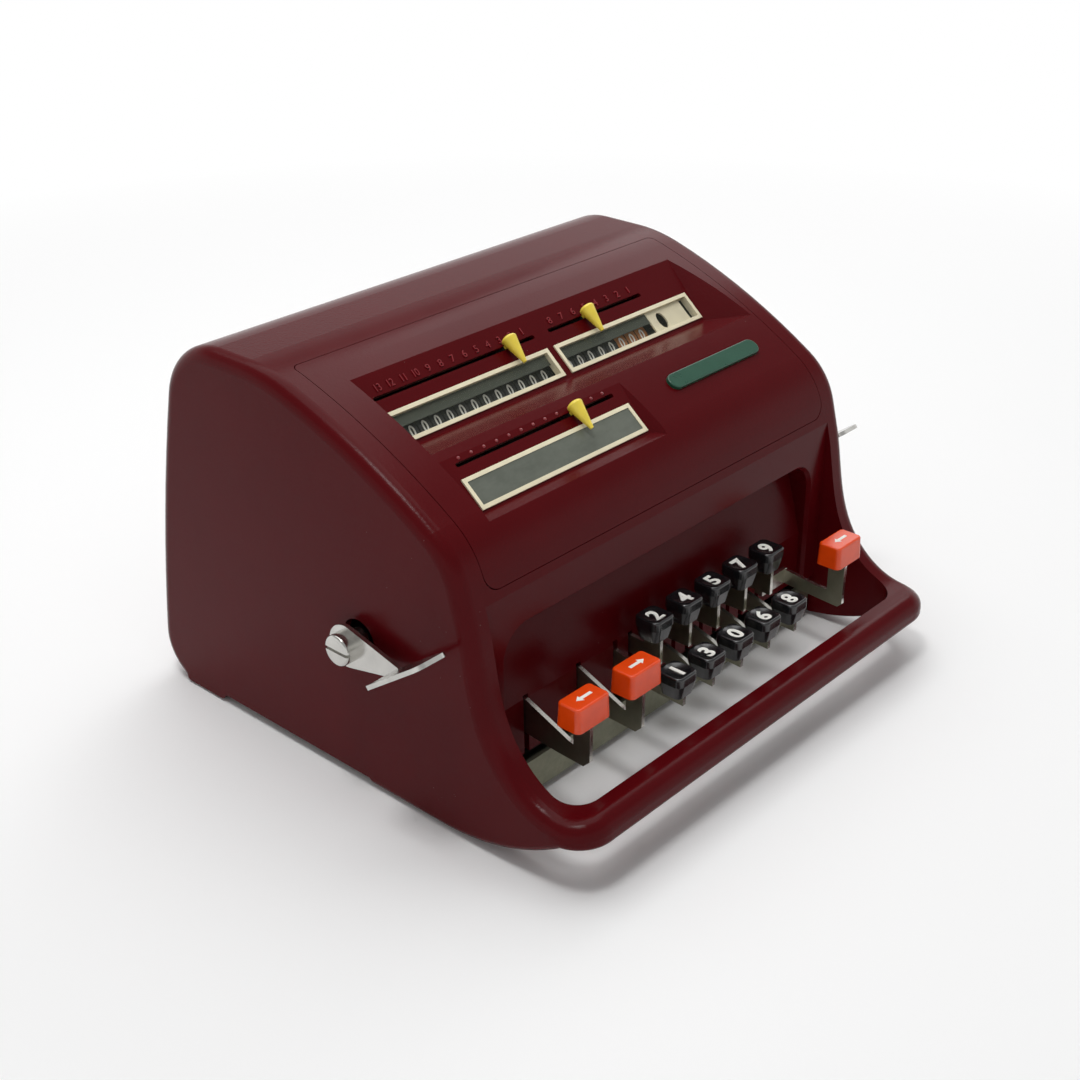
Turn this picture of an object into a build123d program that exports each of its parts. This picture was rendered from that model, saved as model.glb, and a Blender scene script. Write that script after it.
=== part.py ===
from build123d import *
import math
import os

# Hand-cranked pinwheel calculator with a ten-key front keyboard. Millimetres.
# X runs to the operator's right, Y away from the operator and Z up. While the
# pieces are made, X = 0 is the middle of the body, Y = 0 is the front face just
# under the top panel and Z = 0 is the table. They are written about the middle
# of the overall box, with Z = 0 kept on the table.

# ------------------------------------------------------------------- body shape
BODY_WIDTH = 240.0
TOP_HEIGHT = 163.0
BACK_REACH = 184.0          # front face to the rearmost line of the back
BAR_REACH = 57.5            # front face to the front of the hand bar
WALL = 3.5
SIDE_FILLET = 6.0
BAR_CORNER_RADIUS = 16.0
BAR_DEPTH = 12.5
BAR_TOP = 32.8
BAR_BOTTOM = 19.5
BAR_EDGE_RADIUS = 3.0
PAD_HEIGHT = 1.2            # underside of the side walls at their two pads
PAD_STEP = 3.0              # how much higher the walls run between the pads
BACK_ROLL_RADIUS = 32.0
BACK_ROLL_Y = 132.5
BACK_LEAN = 14.0            # degrees from vertical where the back roll ends
TOP_FLAT_FRONT_Y = 113.0
DECK_TOP = (91.0, TOP_HEIGHT - 3.2)     # (Y, Z) where the long sloping deck starts
DECK_FOOT = (15.0, TOP_HEIGHT - 37.7)
FRONT_TOP = (0.5, TOP_HEIGHT - 57.5)
FRONT_FOOT = (-3.0, TOP_HEIGHT - 70.6)
ARM_CURVE = [               # (Y, Z) points the side arms pass on their way to the bar
    (-10.5, 58.0), (-16.5, 46.0), (-24.5, 37.4), (-34.0, 31.8), (-44.0, 29.8),
]
FRONT_PAD = (14.0, 50.0)    # Y span of the front pad under each side wall
BACK_PAD = 145.0            # Y where the back pad starts
CAVITY_BACK = 169.0         # back edge of the opening in the underside
CHIN_MID = (-20.0, 6.8)     # the underside of the side arms curves up to the bar

# ----------------------------------------------------------- removable top panel
PANEL_THICKNESS = 2.5
PANEL_WIDTH = BODY_WIDTH - 26.0
PANEL_BACK_Y = 99.0
PANEL_FRONT_Z = TOP_HEIGHT - 61.5
PANEL_GAP = 0.3
PANEL_LEDGE = 2.5           # width of the rebate that carries the panel
PANEL_FRONT_RADIUS = 7.0
PANEL_BACK_RADIUS = 3.0

# ------------------------------------------------------- recesses with windows
NOTCH_LEFT = 13.5 - PANEL_WIDTH / 2
NOTCH_WALL = 2.0
NOTCH_BEYOND = 30.0         # how far the cutting shapes reach past the deck
FACET_NORMAL = (0.73, 0.36, -0.58)      # sloping right-hand end of each recess
UPPER_TOP = (81.0, TOP_HEIGHT - 6.7)  # (Y, Z) of the recess's top edge
UPPER_CREASE = (56.5, TOP_HEIGHT - 27.5)
UPPER_LEDGE = (25.0, TOP_HEIGHT - 20.6)
UPPER_RIGHT = PANEL_WIDTH / 2 - 13.5
LOWER_TOP = (35.5, TOP_HEIGHT - 25.9)
LOWER_CREASE = (16.7, TOP_HEIGHT - 41.0)
LOWER_LEDGE = (-10.0, TOP_HEIGHT - 40.7)
LOWER_RIGHT = 6.3

WINDOW_HEIGHT = 13.8
WINDOW_BORDER = 1.7
WINDOW_FLANGE = 0.9         # overlap of the window frame on the panel
WINDOW_PROUD = 0.7
WINDOW_SLEEVE = 2.6
GLASS_THICKNESS = 1.2
GLASS_INSET = 0.3
UPPER_WINDOW_DOWN = 23.7    # from the recess's top edge to the window's middle
LOWER_WINDOW_DOWN = 16.2
PRODUCT_WINDOW = (-90.8, 1.5)
COUNTER_WINDOW = (5.5, 93.2)
SETTING_WINDOW = (-90.0, 5.3)

SLOT_WIDTH = 1.8
UPPER_SLOT_DOWN = 9.8
LOWER_SLOT_DOWN = 3.4
PRODUCT_SLOT = (-89.5, 0.0)
COUNTER_SLOT = (8.5, 69.0)
SETTING_SLOT = (-87.6, 1.8)

# ------------------------------------------------------------ decimal pointers
POINTER_RADIUS = 3.4
POINTER_TIP_RADIUS = 0.8
POINTER_LENGTH = 11.5
POINTER_BACKSET = 1.5       # broad end behind the slot
POINTER_LIFT = 3.8
POINTER_STALK = 1.3
POINTER_STALK_LENGTH = 3.0
POINTER_SHOE = 5.6
POINTER_SHOE_LENGTH = 8.0
RAIL_DIAMETER = 3.0
RAIL_DEPTH = 5.8
RAIL_CLEARANCE = 0.05
RAIL_LUG = 3.0
UPPER_LUGS = (-92.0, 4.25, 71.5)
LOWER_LUGS = (-90.0, 3.6)
PRODUCT_POINTER_X = -16.5
COUNTER_POINTER_X = 31.5
SETTING_POINTER_X = -23.0

# ---------------------------------------------------------------------- badge
BADGE_LENGTH = 60.0
BADGE_WIDTH = 7.6
BADGE_THICKNESS = 1.4
BADGE_EDGE = 0.5
BADGE_X = 60.0
BADGE_SEAT = (26.4, TOP_HEIGHT - 30.6)  # (Y, Z) on the deck
BADGE_TILT = 30.0

# ---------------------------------- keyboard well and the loop behind the bar
FACE_Y = -1.5               # flat face between the arms, under the panel
WELL_TOP = TOP_HEIGHT - 81.0
WELL_WIDTH = BODY_WIDTH - 43.0
WELL_CORNER_RADIUS = 12.0
WELL_WALL = 3.0
WELL_BEVEL = 1.5            # round the rim of the well
WELL_BACK = [               # (Y, Z) of the well's back wall, from its top down
    (12.0, WELL_TOP), (2.0, 46.5), (1.5, 22.0),
]
LEVER_SLOT_WIDTH = 2.8      # slots in the back wall that the key levers pass
LEVER_SLOT_TOP = 47.8
LOOP_WIDTH = BODY_WIDTH - 22.0
LOOP_CORNER_RADIUS = 12.0
LOOP_END_GAP = 1.5          # from each end of the crossbar to the side arm

# --------------------------------------------------------------------- keys
KEY_PITCH = 19.1
UPPER_ROW_X = -21.5
UPPER_ROW = ("2", "4", "5", "7", "9")
LOWER_ROW = ("1", "3", "0", "6", "8")
UPPER_CAP_Y = -9.8
UPPER_CAP_TOP = 60.5
LOWER_CAP_Y = -29.2
LOWER_CAP_TOP = 47.2
DIGIT_CAP_SIZE = 12.4
DIGIT_CAP_FOOT = 9.6
DIGIT_CAP_HEIGHT = 10.0
DIGIT_CAP_SHOULDER = 4.0
DIGIT_CAP_DISH = 0.7
ARROW_CAP_LENGTH = 18.0
ARROW_CAP_WIDTH = 10.8
ARROW_CAP_HEIGHT = 10.0
ARROW_CAP_FLARE = 0.5
TAB_CAP_Y = -26.6
RETURN_CAP_Y = -28.3
ARROW_CAP_TOP = 59.5
ARROW_CAP_CORNER = 2.0
TAB_LEFT_X = -84.2
TAB_RIGHT_X = -53.5
RETURN_CAP_X = 83.8
RETURN_LEVER_X = 67.0       # the return key's lever runs here behind its jog
CAP_CORNER = 3.0
CAP_EDGE = 0.9
CAP_SOCKET_DEPTH = 4.0
SOCKET_GAP = 0.05
POST_WIDTH = 8.0            # depth of the post that enters each cap
JOG_Y = -1.2                # where the return lever steps sideways
JOG_SPAN = (28.5, 35.5)     # its lowest and highest edge there
LEVER_THICKNESS = 1.8
LEVER_REAR = [(74.0, 38.0), (74.0, 50.0)]
LEVER_PIVOT = (74.0, 44.0)
LEVER_EYE_RADIUS = 6.5
PIVOT_ROD_DIAMETER = 5.0
PIVOT_CLEARANCE = 0.05

# ------------------------------------------------------------ inner framework
FRAME_X = BODY_WIDTH / 2 - 17.0      # inner face of each side frame
FRAME_THICKNESS = 3.0
FRAME_OUTLINE = [
    (15.0, 20.0), (15.0, 62.0), (24.0, TOP_HEIGHT - 65.0), (22.0, TOP_HEIGHT - 53.0),
    (23.0, TOP_HEIGHT - 42.0), (28.0, TOP_HEIGHT - 37.5), (40.0, TOP_HEIGHT - 36.0),
    (62.0, TOP_HEIGHT - 25.0), (82.0, TOP_HEIGHT - 25.0), (112.0, TOP_HEIGHT - 41.0),
    (124.0, 84.0), (124.0, 7.0),
    (26.0, 7.0),
]
BASE_Z = 5.0
BASE_THICKNESS = 2.0
BASE_WIDTH = BODY_WIDTH - 8.0
BASE_FRONT = 17.0
BASE_BACK = 168.0
CROSSBAR_LENGTH = LOOP_WIDTH - 2 * LOOP_END_GAP
CROSSBAR_TOP = 18.0
CROSSBAR_THICKNESS = 1.8
CROSSBAR_TAIL = 30.0
COMB_Y = 17.0
COMB_THICKNESS = 1.6
COMB_BOTTOM = 22.0
COMB_TOP = 60.0
COMB_SLOT_WIDTH = 2.6
COMB_SLOT_BOTTOM = 26.0
COMB_SLOT_TOP = 52.5
SPRING_TIP = (44.0, 32.7)   # (Y, Z) of each return spring's tip, key pressed
SPRING_THICKNESS = 0.6
SPRING_WIDTH = 4.0
SPRING_ROOT = (63.5, 25.5)
SPRING_BAR_LENGTH = 190.0
SPRING_BAR_DEPTH = 4.0
FOOT_RADIUS = 8.0
FOOT_X = BODY_WIDTH / 2 - 26.0
FOOT_FRONT_Y = 40.0
FOOT_BACK_Y = 152.0
SCREW_X = BODY_WIDTH / 2 - 8.7
SCREW_FRONT_Y = 24.0
SCREW_BACK_Y = 158.0
SCREW_HEAD_RADIUS = 3.4
SCREW_HEAD_HEIGHT = 2.4
SCREW_RADIUS = 2.0
SCREW_LENGTH = 14.0
BOSS_RADIUS = 5.0
BOSS_HEIGHT = 30.0

# --------------------------------------------------------- registers and rotor
WHEEL_PITCH = 6.8
WHEEL_THICKNESS = 6.2
WHEEL_RADIUS = 11.0
WHEEL_RIM = 2.0
WHEEL_RECESS = 1.5
WHEEL_HUB_RADIUS = 5.0
WINDOW_GAP = 4.5      # from the recess face to the wheels' rims
SETTING_WHEEL_RADIUS = 9.0
REGISTER_SHAFT_DIAMETER = 6.0
REGISTER_CLEARANCE = 0.05
PRODUCT_WHEELS = 13
COUNTER_WHEELS = 8
SETTING_WHEELS = 13
PRODUCT_WHEELS_LEFT = -88.5
COUNTER_WHEELS_LEFT = 9.0
SETTING_WHEELS_LEFT = -87.5
MASK_LEFT = 64.5
MASK_RIGHT = 88.0
MASK_THICKNESS = 0.8
MASK_DROP = 0.1
MASK_HOLE = (2.6, 4.0)
MASK_HOLE_PLACE = (-4.5, -0.5)
ROTOR_AXIS = (86.0, 84.0)
ROTOR_RADIUS = 27.0
ROTOR_HUB_RADIUS = 11.0
ROTOR_DISCS = 10
ROTOR_DISC_THICKNESS = 3.6
ROTOR_LEFT = -50.0
ROTOR_PIN_LENGTH = 2.4
ROTOR_PINS = 9
ROTOR_PIN_WIDTH = 2.2
ROTOR_PIN_THICKNESS = 1.6
ROTOR_PIN_START = 200.0
ROTOR_PIN_STEP = 14.0
ROTOR_HUB_REACH = 4.0
ROTOR_SHAFT_DIAMETER = 10.0
BEARING_CLEARANCE = 0.05

# ------------------------------------------------------------- hand crank
CRANK_ARM_X = BODY_WIDTH / 2 + 24.0
CRANK_ARM_THICKNESS = 5.0
CRANK_THROW = 62.0
CRANK_HUB_RADIUS = 9.0
CRANK_HUB_X = BODY_WIDTH / 2 + 3.0
CRANK_END_RADIUS = 7.5
HANDLE_LENGTH = 50.0
HANDLE_RADIUS = 10.5
HANDLE_WAIST = 7.5
HANDLE_EDGE = 2.0
HANDLE_GAP = 0.5
HANDLE_PIN_DIAMETER = 6.0
HANDLE_PIN_LENGTH = 40.0
HANDLE_CLEARANCE = 0.05

# ----------------------------------------------------------- clearing levers
CLEAR_AXIS = (54.5, 67.2)
CLEAR_HOLE_RADIUS = 8.5
CLEAR_SHAFT_DIAMETER = 8.0
CLEAR_BOSS_RADIUS = 5.0
CLEAR_BOSS_LENGTH = 14.0
CLEAR_PLATE_X = BODY_WIDTH / 2 + 5.0     # inner face of the lever's plate
CLEAR_PLATE_THICKNESS = 1.8
CLEAR_DISC_RADIUS = 8.8
CLEAR_NECK = (27.5, 67.0)
CLEAR_NECK_RADIUS = 2.6
CLEAR_TAB_END = (0.8, 86.2)
CLEAR_TAB_WIDTH = 16.0
CLEAR_TAB_CORNER = 4.0
CLEAR_SCREW_RADIUS = 6.4
CLEAR_SCREW_HEIGHT = 5.0
CLEAR_SCREW_SLOT = 1.3
CLEAR_SCREW_SLOT_DEPTH = 1.6
CLEAR_SCREW_EDGE = 1.2

HALF = BODY_WIDTH / 2
FAR = 400.0                 # reach of cutting shapes that run out of the part


# ------------------------------------------------------------------ utilities
def side_solid(sketch, x_from, x_to):
    """Extrude a sketch drawn in (Y, Z) from one X position to another."""
    return extrude(Plane.YZ.offset(x_from) * sketch, amount=x_to - x_from, dir=(1, 0, 0))


def block(x_from, x_to, y_from, y_to, z_from, z_to):
    """Rectangular block between six positions."""
    size = (x_to - x_from, y_to - y_from, z_to - z_from)
    centre = ((x_from + x_to) / 2, (y_from + y_to) / 2, (z_from + z_to) / 2)
    return Pos(*centre) * Box(*size)


def rod(x_from, x_to, axis, radius):
    """Cylinder along X about an axis given as (Y, Z)."""
    return side_solid(Pos(*axis) * Circle(radius), x_from, x_to)


def post(x, y, z_from, z_to, radius):
    """Vertical cylinder."""
    return Pos(x, y, (z_from + z_to) / 2) * Cylinder(radius, z_to - z_from)


def slope_frame(top, crease, x, down, lift=0.0):
    """Plane on a recess's back face: local X right, local Y up the slope."""
    run = math.dist(top, crease)
    fall = ((crease[0] - top[0]) / run, (crease[1] - top[1]) / run)
    normal = (fall[1], -fall[0])
    y = top[0] + down * fall[0] + lift * normal[0]
    z = top[1] + down * fall[1] + lift * normal[1]
    return Plane(origin=(x, y, z), x_dir=(1, 0, 0), z_dir=(0, *normal))


def upper_frame(x, down, lift=0.0):
    return slope_frame(UPPER_TOP, UPPER_CREASE, x, down, lift)


def lower_frame(x, down, lift=0.0):
    return slope_frame(LOWER_TOP, LOWER_CREASE, x, down, lift)


def middle(span):
    return (span[0] + span[1]) / 2


def axis_at(frame):
    """(Y, Z) of a slope frame's origin, for a shaft that runs along X."""
    return (frame.origin.Y, frame.origin.Z)


# -------------------------------------------------------------------- housing
def outer_profile():
    """Side view of the whole body: back, top, deck, front flare and hand bar."""
    centre = (BACK_ROLL_Y, TOP_HEIGHT - BACK_ROLL_RADIUS)
    lean = math.radians(BACK_LEAN)
    half_turn = math.radians((90 + BACK_LEAN) / 2)
    roll_end = (
        centre[0] + BACK_ROLL_RADIUS * math.cos(lean),
        centre[1] + BACK_ROLL_RADIUS * math.sin(lean),
    )
    roll_mid = (
        centre[0] + BACK_ROLL_RADIUS * math.cos(half_turn),
        centre[1] + BACK_ROLL_RADIUS * math.sin(half_turn),
    )
    back_foot = (BACK_REACH, 22.0)
    heel = (BACK_REACH - 11.0, PAD_HEIGHT)
    roll = ThreePointArc(roll_end, roll_mid, (BACK_ROLL_Y, TOP_HEIGHT))
    top = Line((BACK_ROLL_Y, TOP_HEIGHT), (TOP_FLAT_FRONT_Y, TOP_HEIGHT))
    shoulder = TangentArc(top @ 1, DECK_TOP, tangent=top % 1)
    deck = TangentArc(shoulder @ 1, DECK_FOOT, tangent=shoulder % 1)
    front_roll = TangentArc(deck @ 1, FRONT_TOP, tangent=deck % 1)
    front = Line(front_roll @ 1, FRONT_FOOT)
    arm = Spline(FRONT_FOOT, *ARM_CURVE, (-BAR_REACH, BAR_TOP), tangents=(front % 1, (-1, 0.3)))
    bar = Polyline(
        (-BAR_REACH, BAR_TOP),
        (-BAR_REACH, BAR_BOTTOM),
        (-BAR_REACH + BAR_DEPTH, BAR_BOTTOM),
    )
    chin = ThreePointArc(bar @ 1, CHIN_MID, (FRONT_PAD[0], PAD_HEIGHT))
    underside = Polyline(
        (FRONT_PAD[0], PAD_HEIGHT),
        (FRONT_PAD[1], PAD_HEIGHT),
        (FRONT_PAD[1] + PAD_STEP, PAD_HEIGHT + PAD_STEP),
        (BACK_PAD - PAD_STEP, PAD_HEIGHT + PAD_STEP),
        (BACK_PAD, PAD_HEIGHT),
        heel,
    )
    heel_arc = ThreePointArc(heel, (BACK_REACH - 2.6, 9.5), back_foot)
    back = TangentArc(roll_end, back_foot, tangent=(math.sin(lean), -math.cos(lean)))
    lines = [roll, top, shoulder, deck, front_roll, front, arm, bar, chin]
    lines += [underside, heel_arc, back]
    return make_face(Wire([edge for line in lines for edge in line.edges()]))


def outer_body():
    """The solid envelope. One half is rounded above, mirrored and rounded below."""
    half = side_solid(outer_profile(), -HALF, 0)
    upright = half.edges().filter_by(Axis.Z).group_by(Axis.Y)[0].sort_by(Axis.X)[0]
    half = fillet(upright, BAR_CORNER_RADIUS)
    rim = [e for e in half.edges() if on_rim(e)]
    half = fillet([e for e in rim if e.center().Z > BAR_BOTTOM + 4], SIDE_FILLET)
    body = half + mirror(half, about=Plane.YZ)
    rim = [e for e in body.edges() if on_rim(e)]
    return fillet([e for e in rim if under_bar(e)], BAR_EDGE_RADIUS)


def on_rim(edge):
    """True for the outline of the body's sides and of the bar's front."""
    centre = edge.center()
    direction = edge % 0.5
    side = abs(centre.X) > HALF - 20
    front = centre.Y < -BAR_REACH + 1 and abs(direction.X) > 0.99
    return (side or front) and abs(direction.Z) < 0.99


def under_bar(edge):
    centre = edge.center()
    return centre.Z < BAR_BOTTOM + 1 and centre.Y < 0


def deck_band(thickness, rise, clearance):
    """A strip of the deck's skin inside the panel's seam, with rounded corners."""
    back = PANEL_BACK_Y - clearance
    front = PANEL_FRONT_Z + clearance
    reach = PANEL_WIDTH / 2 - clearance
    band = offset(outer_profile(), rise) if rise else outer_profile()
    band -= offset(outer_profile(), -thickness)
    plan = Pos(0, back) * Rectangle(2 * reach, FAR, align=(Align.CENTER, Align.MAX))
    plan = fillet(plan.vertices().group_by(Axis.Y)[-1], PANEL_BACK_RADIUS)
    view = Pos(0, front) * Rectangle(2 * reach, FAR, align=(Align.CENTER, Align.MIN))
    view = fillet(view.vertices().group_by(Axis.Y)[0], PANEL_FRONT_RADIUS)
    inside = extrude(plan, amount=FAR) & extrude(Plane.XZ * view, amount=FAR, both=True)
    return side_solid(band, -reach, reach) & inside


def cavity():
    """The room inside the walls, open underneath for the base plate."""
    inner = offset(outer_profile(), -WALL)
    inner_face = [(y + WELL_WALL, z) for y, z in WELL_BACK]
    top, foot = inner_face[0], inner_face[-1]
    behind_wall = Polygon(
        (top[0], FAR), top, *inner_face[1:], (foot[0], -10), (FAR, -10), (FAR, FAR), align=None
    )
    over_well = Pos(FACE_Y + WALL, WELL_TOP + WALL) * Rectangle(FAR, FAR, align=(Align.MIN, Align.MIN))
    mouth = Pos(foot[0], -10) * Rectangle(CAVITY_BACK - foot[0], 40, align=(Align.MIN, Align.MIN))
    return side_solid((inner & (behind_wall + over_well)) + mouth, WALL - HALF, HALF - WALL)


def loop():
    """The open space between the side arms, behind the bar and before the flat face."""
    bar_back = -BAR_REACH + BAR_DEPTH
    plan = Pos(0, bar_back) * Rectangle(
        LOOP_WIDTH, FACE_Y - bar_back, align=(Align.CENTER, Align.MIN)
    )
    plan = fillet(plan.vertices().group_by(Axis.Y)[0], LOOP_CORNER_RADIUS)
    return extrude(Plane.XY.offset(-10) * plan, amount=FAR)


def well():
    """The recess in the flat face, with the open space under its back wall."""
    lower_edge = WELL_BACK[-1][1]
    side = Polygon((-10, WELL_TOP), *WELL_BACK, (30, lower_edge), (30, -10), (-10, -10), align=None)
    room = side_solid(side, -LOOP_WIDTH / 2, LOOP_WIDTH / 2)
    front = Pos(0, WELL_TOP) * Rectangle(WELL_WIDTH, WELL_TOP + 10, align=(Align.CENTER, Align.MAX))
    front = fillet(front.vertices().group_by(Axis.Y)[-1], WELL_CORNER_RADIUS)
    under = Pos(0, lower_edge) * Rectangle(LOOP_WIDTH, lower_edge + 10, align=(Align.CENTER, Align.MAX))
    rim = extrude(Plane.XZ.offset(-FACE_Y - WELL_BEVEL) * front, amount=WELL_BEVEL, taper=-45)
    return (room & extrude(Plane.XZ * (front + under), amount=30, both=True)) + rim


def lever_slots():
    """Slots that run up the well's back wall from its lower edge."""
    half = LEVER_SLOT_WIDTH / 2
    reach, foot = WELL_BACK[0][0], WELL_BACK[-1][1] - 1
    return [block(x - half, x + half, 0, reach, foot, LEVER_SLOT_TOP) for x in lever_places()]


def boss(x, y):
    """Screw boss joined to the nearer side wall by a web."""
    side = math.copysign(1, x)
    foot = BASE_Z + BASE_THICKNESS
    ends = sorted((x, side * (HALF - 1)))
    web = block(ends[0], ends[1], y - 2, y + 2, foot, BOSS_HEIGHT)
    return web + post(x, y, foot, BOSS_HEIGHT, BOSS_RADIUS)


def screw_places():
    return [(side * SCREW_X, y) for side in (-1, 1) for y in (SCREW_FRONT_Y, SCREW_BACK_Y)]


def housing():
    body = outer_body() - cavity() - loop() - well() - lever_slots()
    body -= deck_band(PANEL_THICKNESS, 1.0, 0.0)
    reach = PANEL_WIDTH / 2 - PANEL_LEDGE
    body -= block(-reach, reach, -FAR, PANEL_BACK_Y - PANEL_LEDGE, PANEL_FRONT_Z + PANEL_LEDGE, FAR)
    for x, y in screw_places():
        body += boss(x, y)
        body -= post(x, y, BASE_Z, BASE_Z + SCREW_LENGTH, SCREW_RADIUS)
    body -= rod(-FAR, FAR, CLEAR_AXIS, CLEAR_HOLE_RADIUS)
    body -= rod(0, FAR, ROTOR_AXIS, ROTOR_SHAFT_DIAMETER / 2 + 1.0)
    return body


# ------------------------------------------------------------------ top panel
def notch(top, crease, ledge, right, wall):
    """A recess in the deck, enlarged by wall on every side that has one."""
    rise = (top[1] - crease[1]) / (top[0] - crease[0])
    beyond = (top[0] + NOTCH_BEYOND, top[1] + NOTCH_BEYOND * rise)
    room = Polygon(beyond, crease, ledge, (ledge[0], beyond[1]), align=None)
    if wall:
        room = offset(room, wall, kind=Kind.INTERSECTION)
    solid = side_solid(room, NOTCH_LEFT - wall, right + 60)
    anchor = Vector(right, crease[0], crease[1]) + Vector(*FACET_NORMAL) * wall
    facet = Plane(origin=anchor, z_dir=FACET_NORMAL)
    return split(solid, bisect_by=facet, keep=Keep.BOTTOM)


def upper_notch(wall=0.0):
    return notch(UPPER_TOP, UPPER_CREASE, UPPER_LEDGE, UPPER_RIGHT, wall)


def lower_notch(wall=0.0):
    return notch(LOWER_TOP, LOWER_CREASE, LOWER_LEDGE, LOWER_RIGHT, wall)


def window_cut(frame, span, inset, depth):
    """Rectangle inset from a window's outline, reaching both ways from the slope."""
    sketch = Rectangle(span[1] - span[0] - 2 * inset, WINDOW_HEIGHT - 2 * inset)
    return extrude(frame * sketch, amount=depth, both=True)


def slot_cut(frame, span):
    sketch = SlotOverall(span[1] - span[0], SLOT_WIDTH)
    return extrude(frame * sketch, amount=6, both=True)


def rail_lug(frame):
    """Block under the slope that carries one end of a pointer rail."""
    sketch = Rectangle(RAIL_LUG, POINTER_SHOE)
    return extrude(frame * sketch, amount=-RAIL_DEPTH - POINTER_SHOE / 2)


def top_panel():
    skin = deck_band(PANEL_THICKNESS, 0.0, PANEL_GAP)
    reach = PANEL_WIDTH / 2 - PANEL_LEDGE - PANEL_GAP
    inside = side_solid(outer_profile(), -reach, reach)
    inside &= block(-reach, reach, 0, PANEL_BACK_Y - 5, PANEL_FRONT_Z + 5, FAR)
    walls = (upper_notch(NOTCH_WALL) + lower_notch(NOTCH_WALL)) & inside
    panel = skin + walls
    for x in UPPER_LUGS:
        panel += rail_lug(upper_frame(x, UPPER_SLOT_DOWN))
    for x in LOWER_LUGS:
        panel += rail_lug(lower_frame(x, LOWER_SLOT_DOWN))
    panel = panel - upper_notch() - lower_notch()
    for frame, span in windows():
        panel -= window_cut(frame, span, WINDOW_FLANGE, 6)
    for frame, span in slots():
        panel -= slot_cut(frame, span)
    return panel - pointer_rails()


def windows():
    return [
        (upper_frame(middle(PRODUCT_WINDOW), UPPER_WINDOW_DOWN), PRODUCT_WINDOW),
        (upper_frame(middle(COUNTER_WINDOW), UPPER_WINDOW_DOWN), COUNTER_WINDOW),
        (lower_frame(middle(SETTING_WINDOW), LOWER_WINDOW_DOWN), SETTING_WINDOW),
    ]


def slots():
    return [
        (upper_frame(middle(PRODUCT_SLOT), UPPER_SLOT_DOWN), PRODUCT_SLOT),
        (upper_frame(middle(COUNTER_SLOT), UPPER_SLOT_DOWN), COUNTER_SLOT),
        (lower_frame(middle(SETTING_SLOT), LOWER_SLOT_DOWN), SETTING_SLOT),
    ]


# ----------------------------------------------------------- windows and rails
def window_frame(frame, span):
    """Rim on the slope with a sleeve that lines the opening."""
    rim = extrude(window_outline(frame, span, 0.0), amount=WINDOW_PROUD)
    sleeve = extrude(window_outline(frame, span, WINDOW_FLANGE + SOCKET_GAP), amount=-WINDOW_SLEEVE)
    return rim + sleeve - window_cut(frame, span, WINDOW_BORDER, 6)


def window_outline(frame, span, inset):
    return frame * Rectangle(span[1] - span[0] - 2 * inset, WINDOW_HEIGHT - 2 * inset)


def window_glass(frame, span):
    pane = extrude(window_outline(frame, span, WINDOW_BORDER), amount=-GLASS_THICKNESS)
    return Pos(*(frame.z_dir * (WINDOW_PROUD - GLASS_INSET))) * pane


def window_glasses():
    return Compound([window_glass(frame, span) for frame, span in windows()])


def counter_mask():
    """Plate beside the counter's wheels with one oval hole."""
    lift = WINDOW_PROUD - GLASS_INSET - GLASS_THICKNESS - MASK_DROP
    frame = upper_frame(middle((MASK_LEFT, MASK_RIGHT)), UPPER_WINDOW_DOWN, lift)
    plate = Rectangle(MASK_RIGHT - MASK_LEFT, WINDOW_HEIGHT - 2 * WINDOW_BORDER)
    hole = Pos(*MASK_HOLE_PLACE) * Ellipse(*MASK_HOLE)
    return extrude(frame * (plate - hole), amount=-MASK_THICKNESS)


def pointer_rails():
    """Rods under the slots that the decimal pointers run on."""
    upper = axis_at(upper_frame(0, UPPER_SLOT_DOWN, -RAIL_DEPTH))
    lower = axis_at(lower_frame(0, LOWER_SLOT_DOWN, -RAIL_DEPTH))
    half = RAIL_LUG / 2
    return Compound([
        rod(UPPER_LUGS[0] - half, UPPER_LUGS[-1] + half, upper, RAIL_DIAMETER / 2),
        rod(LOWER_LUGS[0] - half, LOWER_LUGS[-1] + half, lower, RAIL_DIAMETER / 2),
    ])


def pointer(frame):
    """Cone on a stalk through its slot, with a shoe that runs on the rail."""
    tail = POINTER_BACKSET
    cone = Polygon(
        (0, tail),
        (POINTER_RADIUS, tail),
        (POINTER_TIP_RADIUS, tail - POINTER_LENGTH),
        (0, tail - POINTER_LENGTH),
        align=None,
    )
    cone = revolve(frame * Pos(0, 0, POINTER_LIFT) * cone, Axis(
        frame.from_local_coords((0, 0, POINTER_LIFT)), frame.y_dir
    ))
    stalk = frame * Rectangle(POINTER_STALK_LENGTH, POINTER_STALK)
    stalk = extrude(stalk, amount=POINTER_LIFT) + extrude(stalk, amount=-RAIL_DEPTH)
    shoe = frame * Pos(0, 0, -RAIL_DEPTH) * Box(POINTER_SHOE_LENGTH, POINTER_SHOE, POINTER_SHOE)
    bore = RAIL_DIAMETER / 2 + RAIL_CLEARANCE
    x = frame.origin.X
    rail = axis_at(frame.offset(-RAIL_DEPTH))
    return cone + stalk + shoe - rod(x - 20, x + 20, rail, bore)


def name_badge():
    """Blank pill seated on the deck."""
    seat = Plane(origin=(BADGE_X, *BADGE_SEAT), x_dir=(1, 0, 0), z_dir=tilted_normal(BADGE_TILT))
    pill = extrude(seat * SlotOverall(BADGE_LENGTH, BADGE_WIDTH), amount=BADGE_THICKNESS)
    pill = fillet(pill.faces().sort_by(seat_axis(seat))[-1].edges(), BADGE_EDGE)
    root = extrude(seat * SlotOverall(BADGE_LENGTH, BADGE_WIDTH), amount=-1)
    return pill + root - side_solid(outer_profile(), -HALF, HALF)


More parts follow.
